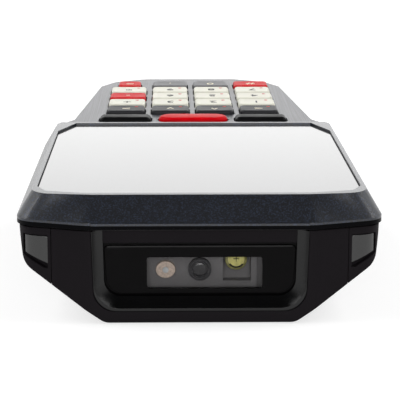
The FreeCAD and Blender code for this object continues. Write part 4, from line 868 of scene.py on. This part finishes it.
@dataclass
class ScanEngine:
    """What shows through the clear field: the engine's face, its lens and its two lights."""

    corner: float = 0.6
    beyond: float = 1.0
    well_x: tuple[float, float] = (4.8, 10.5)
    well_z: tuple[float, float] = (7.45, 15.2)
    well_deep: float = 2.4
    side_step_x: float = 11.8
    side_step_deep: float = 0.9
    barrel_steps: tuple[tuple[float, float], ...] = (
        (0.1, 0), (0.25, -0.2), (0.15, 0), (0.2, 0.2), (0.1, 0), (0.15, -0.3),
    )
    glass_radius: float = 1.5
    glass_span: tuple[float, float] = (0.3, 0.7)
    glass_dome: float = 0.25
    aimer_flat: float = 0.88
    aimer_steps: tuple[tuple[float, float], ...] = ((0.12, 0.06), (0.1, 0.0))
    bead_radius: float = 0.63
    bead_out: float = 0.25
    bead_dome: float = 0.15
    lamp_face: float = 1.0
    lamp_dome: float = 0.7
    inner_radius: float = 1.7
    inner_out: tuple[float, float] = (0.75, 0.35)
    inner_up: float = 0.15
    arc_radius: float = 1.62
    arc_thick: float = 0.17
    arc_start_deg: float = 125.0
    arc_sweep_deg: float = 110.0
    arc_out: float = 0.85
    cross_out: tuple[float, float] = (1.0, 0.8)
    cross_half: float = 0.6
    cross_thick: float = 0.06

    def build(self) -> None:
        """Make the engine's housing, the camera lens, the aiming light and the lamp."""
        self.housing()
        self.lens()
        self.aimer()
        self.lamp()
        self.lamp_marks()

    def housing(self) -> None:
        """Make the engine's housing with the square well for the lamp and the step beside it."""
        low, high = ends("scan_engine")
        shape = box((low.x, high.x), (low.y, high.y), (low.z, high.z))
        bevel(shape, along(Axis.Y), self.corner, 3)
        near = low.y - self.beyond
        shape = cut(shape, box(self.well_x, (near, low.y + self.well_deep), self.well_z))
        x, z = (self.side_step_x, high.x + self.beyond), (low.z - self.beyond, high.z + self.beyond)
        shape = cut(shape, box(x, (near, low.y + self.side_step_deep), z))
        piece("engine_housing", shape, ENGINE, ["scan_engine"])

    def lens(self) -> None:
        """Make the camera lens: a stepped barrel with its glass in the middle."""
        x, z, radius, front, back = round_part("camera_lens")
        shape = rod(x, z, radius, front, back)
        step_in(shape, facing(shape, TO_HEAD), self.barrel_steps)
        piece("lens_barrel", shape, BARREL, ["camera_lens"])
        near, far = (front + place for place in self.glass_span)
        glass = rod(x, z, self.glass_radius, near, far)
        glass = domed(glass, self.glass_radius, self.glass_dome)
        piece("lens_glass", glass, LENS)

    def aimer(self) -> None:
        """Make the oval bronze plate of the aiming light with its small lens."""
        x, z, radius, front, back = round_part("aimer_lens")
        shape = rod(0, 0, radius, front, back)
        step_in(shape, facing(shape, TO_HEAD), self.aimer_steps)
        bmesh.ops.scale(shape, vec=(1, 1, self.aimer_flat), verts=shape.verts)
        bmesh.ops.translate(shape, vec=(x * MM, 0, z * MM), verts=shape.verts)
        piece("aimer_plate", shape, BRONZE, ["aimer_lens"])
        bead = rod(x, z, self.bead_radius, front - self.bead_out, front)
        bead = domed(bead, self.bead_radius, self.bead_dome)
        piece("aimer_bead", bead, PALE_LENS)

    def lamp(self) -> None:
        """Make the yellow resin dome with its paler middle."""
        x, z, radius, front, back = round_part("illumination_led")
        face_at = front + self.lamp_face
        dome = domed(rod(x, z, radius, face_at, back), radius, self.lamp_dome)
        piece("lamp_dome", dome, PHOSPHOR, ["illumination_led"])
        near, far = (face_at - out for out in self.inner_out)
        inner = rod(x, z + self.inner_up, self.inner_radius, near, far)
        inner = domed(inner, self.inner_radius, self.inner_up)
        piece("lamp_pale_middle", inner, PALE_PHOSPHOR)

    def lamp_marks(self) -> None:
        """Make the dark arc in the dome and the small cross of the die's leads."""
        x, z, _, front, _ = round_part("illumination_led")
        face_at = front + self.lamp_face
        arc = bmesh.new()
        radius = self.arc_thick * MM
        ring = bmesh.ops.create_circle(arc, cap_ends=False, segments=8, radius=radius)["verts"]
        turn = Matrix.Rotation(math.radians(self.arc_start_deg), 4, "Y")
        out = Matrix.Translation((0, 0, self.arc_radius * MM))
        stand = Matrix.Rotation(math.pi / 2, 4, "Y")
        bmesh.ops.transform(arc, verts=ring, matrix=turn @ out @ stand)
        bmesh.ops.spin(
            arc, geom=list(arc.edges), cent=(0, 0, 0), axis=(0, 1, 0),
            angle=math.radians(self.arc_sweep_deg), steps=16, use_duplicate=False,
        )
        bmesh.ops.holes_fill(arc, edges=[edge for edge in arc.edges if edge.is_boundary], sides=0)
        middle = Vector((x, face_at - self.arc_out, z + self.inner_up)) * MM
        bmesh.ops.translate(arc, verts=arc.verts, vec=middle)
        piece("lamp_arc", arc, NYLON)
        cross = bmesh.new()
        near_far = [face_at - out for out in self.cross_out]
        half, thin = self.cross_half, self.cross_thick
        level = z + half / 2
        add_box(cross, (x - thin, x + thin), near_far, (level - half, level + half))
        add_box(cross, (x - half, x + half), near_far, (level - thin, level + thin))
        piece("lamp_cross", cross, NYLON)


@dataclass
class LatchPanels:
    """The glossy curved panels in the recess at each of the head's two corners."""

    wide: float = 5.4
    deep: float = 3.6
    sweep_deg: float = 68.0
    thick: float = 0.35
    inner_x: float = 30.75
    forward: float = 0.15
    steps: int = 28
    outer_rise: float = 2.5
    corner: float = 1.1
    beyond: float = 3.0

    def build(self) -> None:
        """Make both panels."""
        for side, node in ((-1, "left_latch_panel"), (1, "right_latch_panel")):
            self.panel(side, node)

    def panel(self, side: int, node: str) -> None:
        """Sweep an upright edge along the corner, give it a wall and trim its outline.

        Args:
            side: 1 for +X, -1 for -X.
            node: The CAD panel that it stands for.
        """
        low, high = ends(node)
        near = (low.y + self.forward) * MM
        shape = bmesh.new()
        pair = [shape.verts.new((self.inner_x * MM, near, z * MM)) for z in (low.z, high.z)]
        shape.edges.new(pair)
        centre = Vector((self.inner_x * MM, near + self.wide * MM, 0))
        bmesh.ops.spin(
            shape, geom=list(shape.verts) + list(shape.edges), cent=centre, axis=(0, 0, 1),
            angle=math.radians(self.sweep_deg), steps=self.steps, use_duplicate=False,
        )
        away = Matrix.Translation((0, -near, 0))
        flat = (1, self.deep / self.wide, 1)
        bmesh.ops.scale(shape, vec=flat, space=away, verts=shape.verts)
        bmesh.ops.recalc_face_normals(shape, faces=shape.faces)
        if facing(shape, TO_HEAD).normal.y > 0:
            bmesh.ops.reverse_faces(shape, faces=shape.faces)
        bmesh.ops.solidify(shape, geom=list(shape.faces), thickness=self.thick * MM)
        reach = self.inner_x + self.wide + self.beyond
        rise = self.outer_rise * (self.wide + self.beyond) / self.wide
        start = self.inner_x - self.thick
        corners = [(start, high.z), (reach, high.z), (reach, low.z + rise), (start, low.z)]
        rounds = (self.corner, 0, 0, self.corner / 2)
        far = low.y + self.deep + self.beyond
        outline = slab(corners, rounds, low.y - self.beyond, far)
        shape = cut(shape, outline, "INTERSECT")
        if side < 0:
            bmesh.ops.scale(shape, vec=(-1, 1, 1), verts=shape.verts)
        piece(f"{node}_curved", shape, LACQUER, [node])


@dataclass
class Grooves:
    """A row of straight grooves across one face of a moving part."""

    node: str
    name: str
    body: Body
    finish: Finish
    slot: str
    start: float
    count: int
    pitch: float
    wide: float
    deep: float
    x: tuple[float, float]
    z: tuple[float, float]

    def build(self) -> None:
        """Cut the grooves into a copy of the CAD node and put it in the node's place."""
        tools = bmesh.new()
        for place in range(self.count):
            at = self.start + place * self.pitch
            add_box(tools, self.x, (at, at + self.wide), self.z)
        shape = cut(copied(self.node), tools)
        piece(self.name, shape, self.finish, [self.node], self.body.value)
        LOG.info("%s: %d grooves %.2f mm deep", self.name, self.count, self.deep)


def trigger_grooves() -> Grooves:
    """Return the grip grooves across the face of the side trigger."""
    low, high = ends("scan_trigger")
    count, pitch, wide, deep = 5, 3.2, 0.7, 0.35
    start = (low.y + high.y - (count - 1) * pitch - wide) / 2
    x, z = (low.x - 1, low.x + deep), (low.z - 1, high.z + 1)
    names = ("scan_trigger", "trigger_grooved", Body.TRIGGER, RED, "red_plastic")
    return Grooves(*names, start, count, pitch, wide, deep, x, z)


def door_grooves() -> Grooves:
    """Return the finger grooves across the outside of the battery door."""
    low, _ = ends("battery_door")
    count, pitch, wide, deep, half, margin = 7, 2.4, 0.9, 0.4, 9.0, 8.0
    x, z = (-half, half), (low.z - 1, low.z + deep)
    names = ("battery_door", "door_grooved", Body.DOOR, SOFT_TOUCH, "soft_black")
    return Grooves(*names, low.y + margin, count, pitch, wide, deep, x, z)


@dataclass
class Studio:
    """The pale floor, the soft lights and the camera at the photograph's angle."""

    camera_place: tuple[float, float, float] = (-6.24, -408.0, 95.3)
    yaw_deg: float = 1.10
    pitch_deg: float = 12.22
    roll_deg: float = 0.08
    lens_mm: float = 148.2
    sensor_mm: float = 36.0
    floor_half: float = 6000.0
    floor_colour: str = "b4b4b4"
    floor_roughness: float = 0.9
    floor_glow: float = 0.68
    white: str = "ffffff"
    clip_from: float = 0.01
    clip_to: float = 30.0
    side_place: tuple[float, float, float] = (860.0, 100.0, 880.0)
    side_size: tuple[float, float] = (800.0, 800.0)
    side_watts: float = 9.6
    rear_place: tuple[float, float, float] = (0.0, 1500.0, 430.0)
    rear_size: tuple[float, float] = (1800.0, 620.0)
    rear_watts: float = 4.6
    front_place: tuple[float, float, float] = (0.0, -1700.0, 420.0)
    front_size: tuple[float, float] = (1000.0, 600.0)
    front_watts: float = 12.0
    fill: float = 0.16
    ceiling: float = 0.06
    ceiling_from: float = 0.3
    ceiling_full: float = 0.55

    def build(self) -> None:
        """Make the camera, the floor, the surroundings and the lights."""
        self.camera()
        self.floor()
        self.surroundings()
        x, y, z = self.side_place
        for name, side in (("left_softbox", -1), ("right_softbox", 1)):
            self.softbox(name, (side * x, y, z), self.side_size, self.side_watts)
        self.softbox("rear_softbox", self.rear_place, self.rear_size, self.rear_watts)
        self.softbox("front_softbox", self.front_place, self.front_size, self.front_watts)
        bpy.context.scene.view_settings.view_transform = "Standard"

    def camera(self) -> None:
        """Place the camera as a long lens near the table, in front of the head."""
        data = bpy.data.cameras.new("camera")
        data.sensor_fit = "HORIZONTAL"
        data.sensor_width = self.sensor_mm
        data.lens = self.lens_mm
        data.clip_start = self.clip_from
        data.clip_end = self.clip_to
        yaw, pitch, roll = (math.radians(a) for a in (self.yaw_deg, self.pitch_deg, self.roll_deg))
        ahead = Vector(
            (math.sin(yaw) * math.cos(pitch), math.cos(yaw) * math.cos(pitch), -math.sin(pitch))
        )
        level = Vector((math.cos(yaw), -math.sin(yaw), 0.0))
        right = level * math.cos(roll) + level.cross(ahead) * math.sin(roll)
        place = Matrix((right, right.cross(ahead), -ahead)).transposed().to_4x4()
        place.translation = Vector(self.camera_place) * MM
        camera = placed("camera", data)
        camera.matrix_world = place
        bpy.context.scene.camera = camera

    def softbox(
        self, name: str, place: Sequence[float], size: tuple[float, float], watts: float
    ) -> None:
        """Hang one rectangular softbox that faces the terminal.

        Args:
            name: The lamp's name.
            place: Where its middle hangs.
            size: Its width and height.
            watts: Its power.
        """
        data = bpy.data.lights.new(name, "AREA")
        data.shape = "RECTANGLE"
        data.size, data.size_y = (side * MM for side in size)
        data.energy = watts
        lamp = placed(name, data)
        lamp.location = Vector(place) * MM
        lamp.rotation_euler = (-Vector(place)).to_track_quat("-Z", "Y").to_euler()
        lamp.visible_camera = False

    @staticmethod
    def seen_rays(tree: Tree) -> Socket:
        """Return 1 for the rays that show the background: camera, glossy and transmission."""
        rays = add_node(tree, "LightPath").outputs
        pair = {0: rays["Is Camera Ray"], 1: rays["Is Glossy Ray"]}
        first = add_node(tree, "Math", {"operation": "MAXIMUM"}, pair)
        pair = {0: first.outputs[0], 1: rays["Is Transmission Ray"]}
        return add_node(tree, "Math", {"operation": "MAXIMUM"}, pair).outputs[0]

    def floor(self) -> None:
        """Lay the white table, which shows as white with the terminal's soft shadow on it."""
        shape = bmesh.new()
        bmesh.ops.create_grid(shape, x_segments=1, y_segments=1, size=self.floor_half * MM)
        mesh = as_mesh("floor", shape)
        table = bpy.data.materials.new("white_table")
        table.use_nodes = True
        tree = table.node_tree
        shader = tree.nodes["Principled BSDF"]
        pair = {0: self.seen_rays(tree), 1: self.floor_glow}
        glow = add_node(tree, "Math", {"operation": "MULTIPLY"}, pair)
        values = {
            "Base Color": linear(self.floor_colour), "Roughness": self.floor_roughness,
            "Specular IOR Level": 0.0, "Emission Color": linear(self.white),
            "Emission Strength": glow.outputs[0],
        }
        feed(tree, shader, values)
        mesh.materials.append(table)
        floor = placed("floor", mesh)

    def surroundings(self) -> None:
        """Surround the table with a white backdrop near the horizon and a dark ceiling."""
        world = bpy.data.worlds.new("studio")
        bpy.context.scene.world = world
        world.use_nodes = True
        tree = world.node_tree
        way = add_node(tree, "TexCoord").outputs["Generated"]
        spot = add_node(tree, "SeparateXYZ", None, {0: way})
        span = {
            0: spot.outputs[2], 1: self.ceiling_from, 2: self.ceiling_full, 3: 1.0,
            4: self.ceiling,
        }
        backdrop = add_node(tree, "MapRange", None, span)
        pair = {0: self.seen_rays(tree), 2: self.fill, 3: backdrop.outputs[0]}
        strength = add_node(tree, "Mix", None, pair)
        feed(tree, tree.nodes["Background"], {0: linear(self.white), 1: strength.outputs[0]})


def dress_cad() -> None:
    """Give every CAD node the finish of its material slot."""
    for part in frame["record"]["subparts"]:
        mesh = frame["nodes"][part["node"]].data
        mesh.materials.clear()
        mesh.materials.append(CAD_FINISHES[part["material_slot"]].material())
        LOG.info("%s: finished as %s", part["node"], part["material_slot"])


def main() -> None:
    """Build the whole scene."""
    logging.basicConfig(level=logging.INFO, format="%(message)s")
    dress_cad()
    assemblies = (
        Keypad(), ScanNose(), ScanEngine(), LatchPanels(), trigger_grooves(), door_grooves(),
        Studio(),
    )
    for assembly in assemblies:
        LOG.info("building %s", type(assembly).__name__)
        assembly.build()
    bpy.context.view_layer.update()


if __name__ == "__main__":
    main()
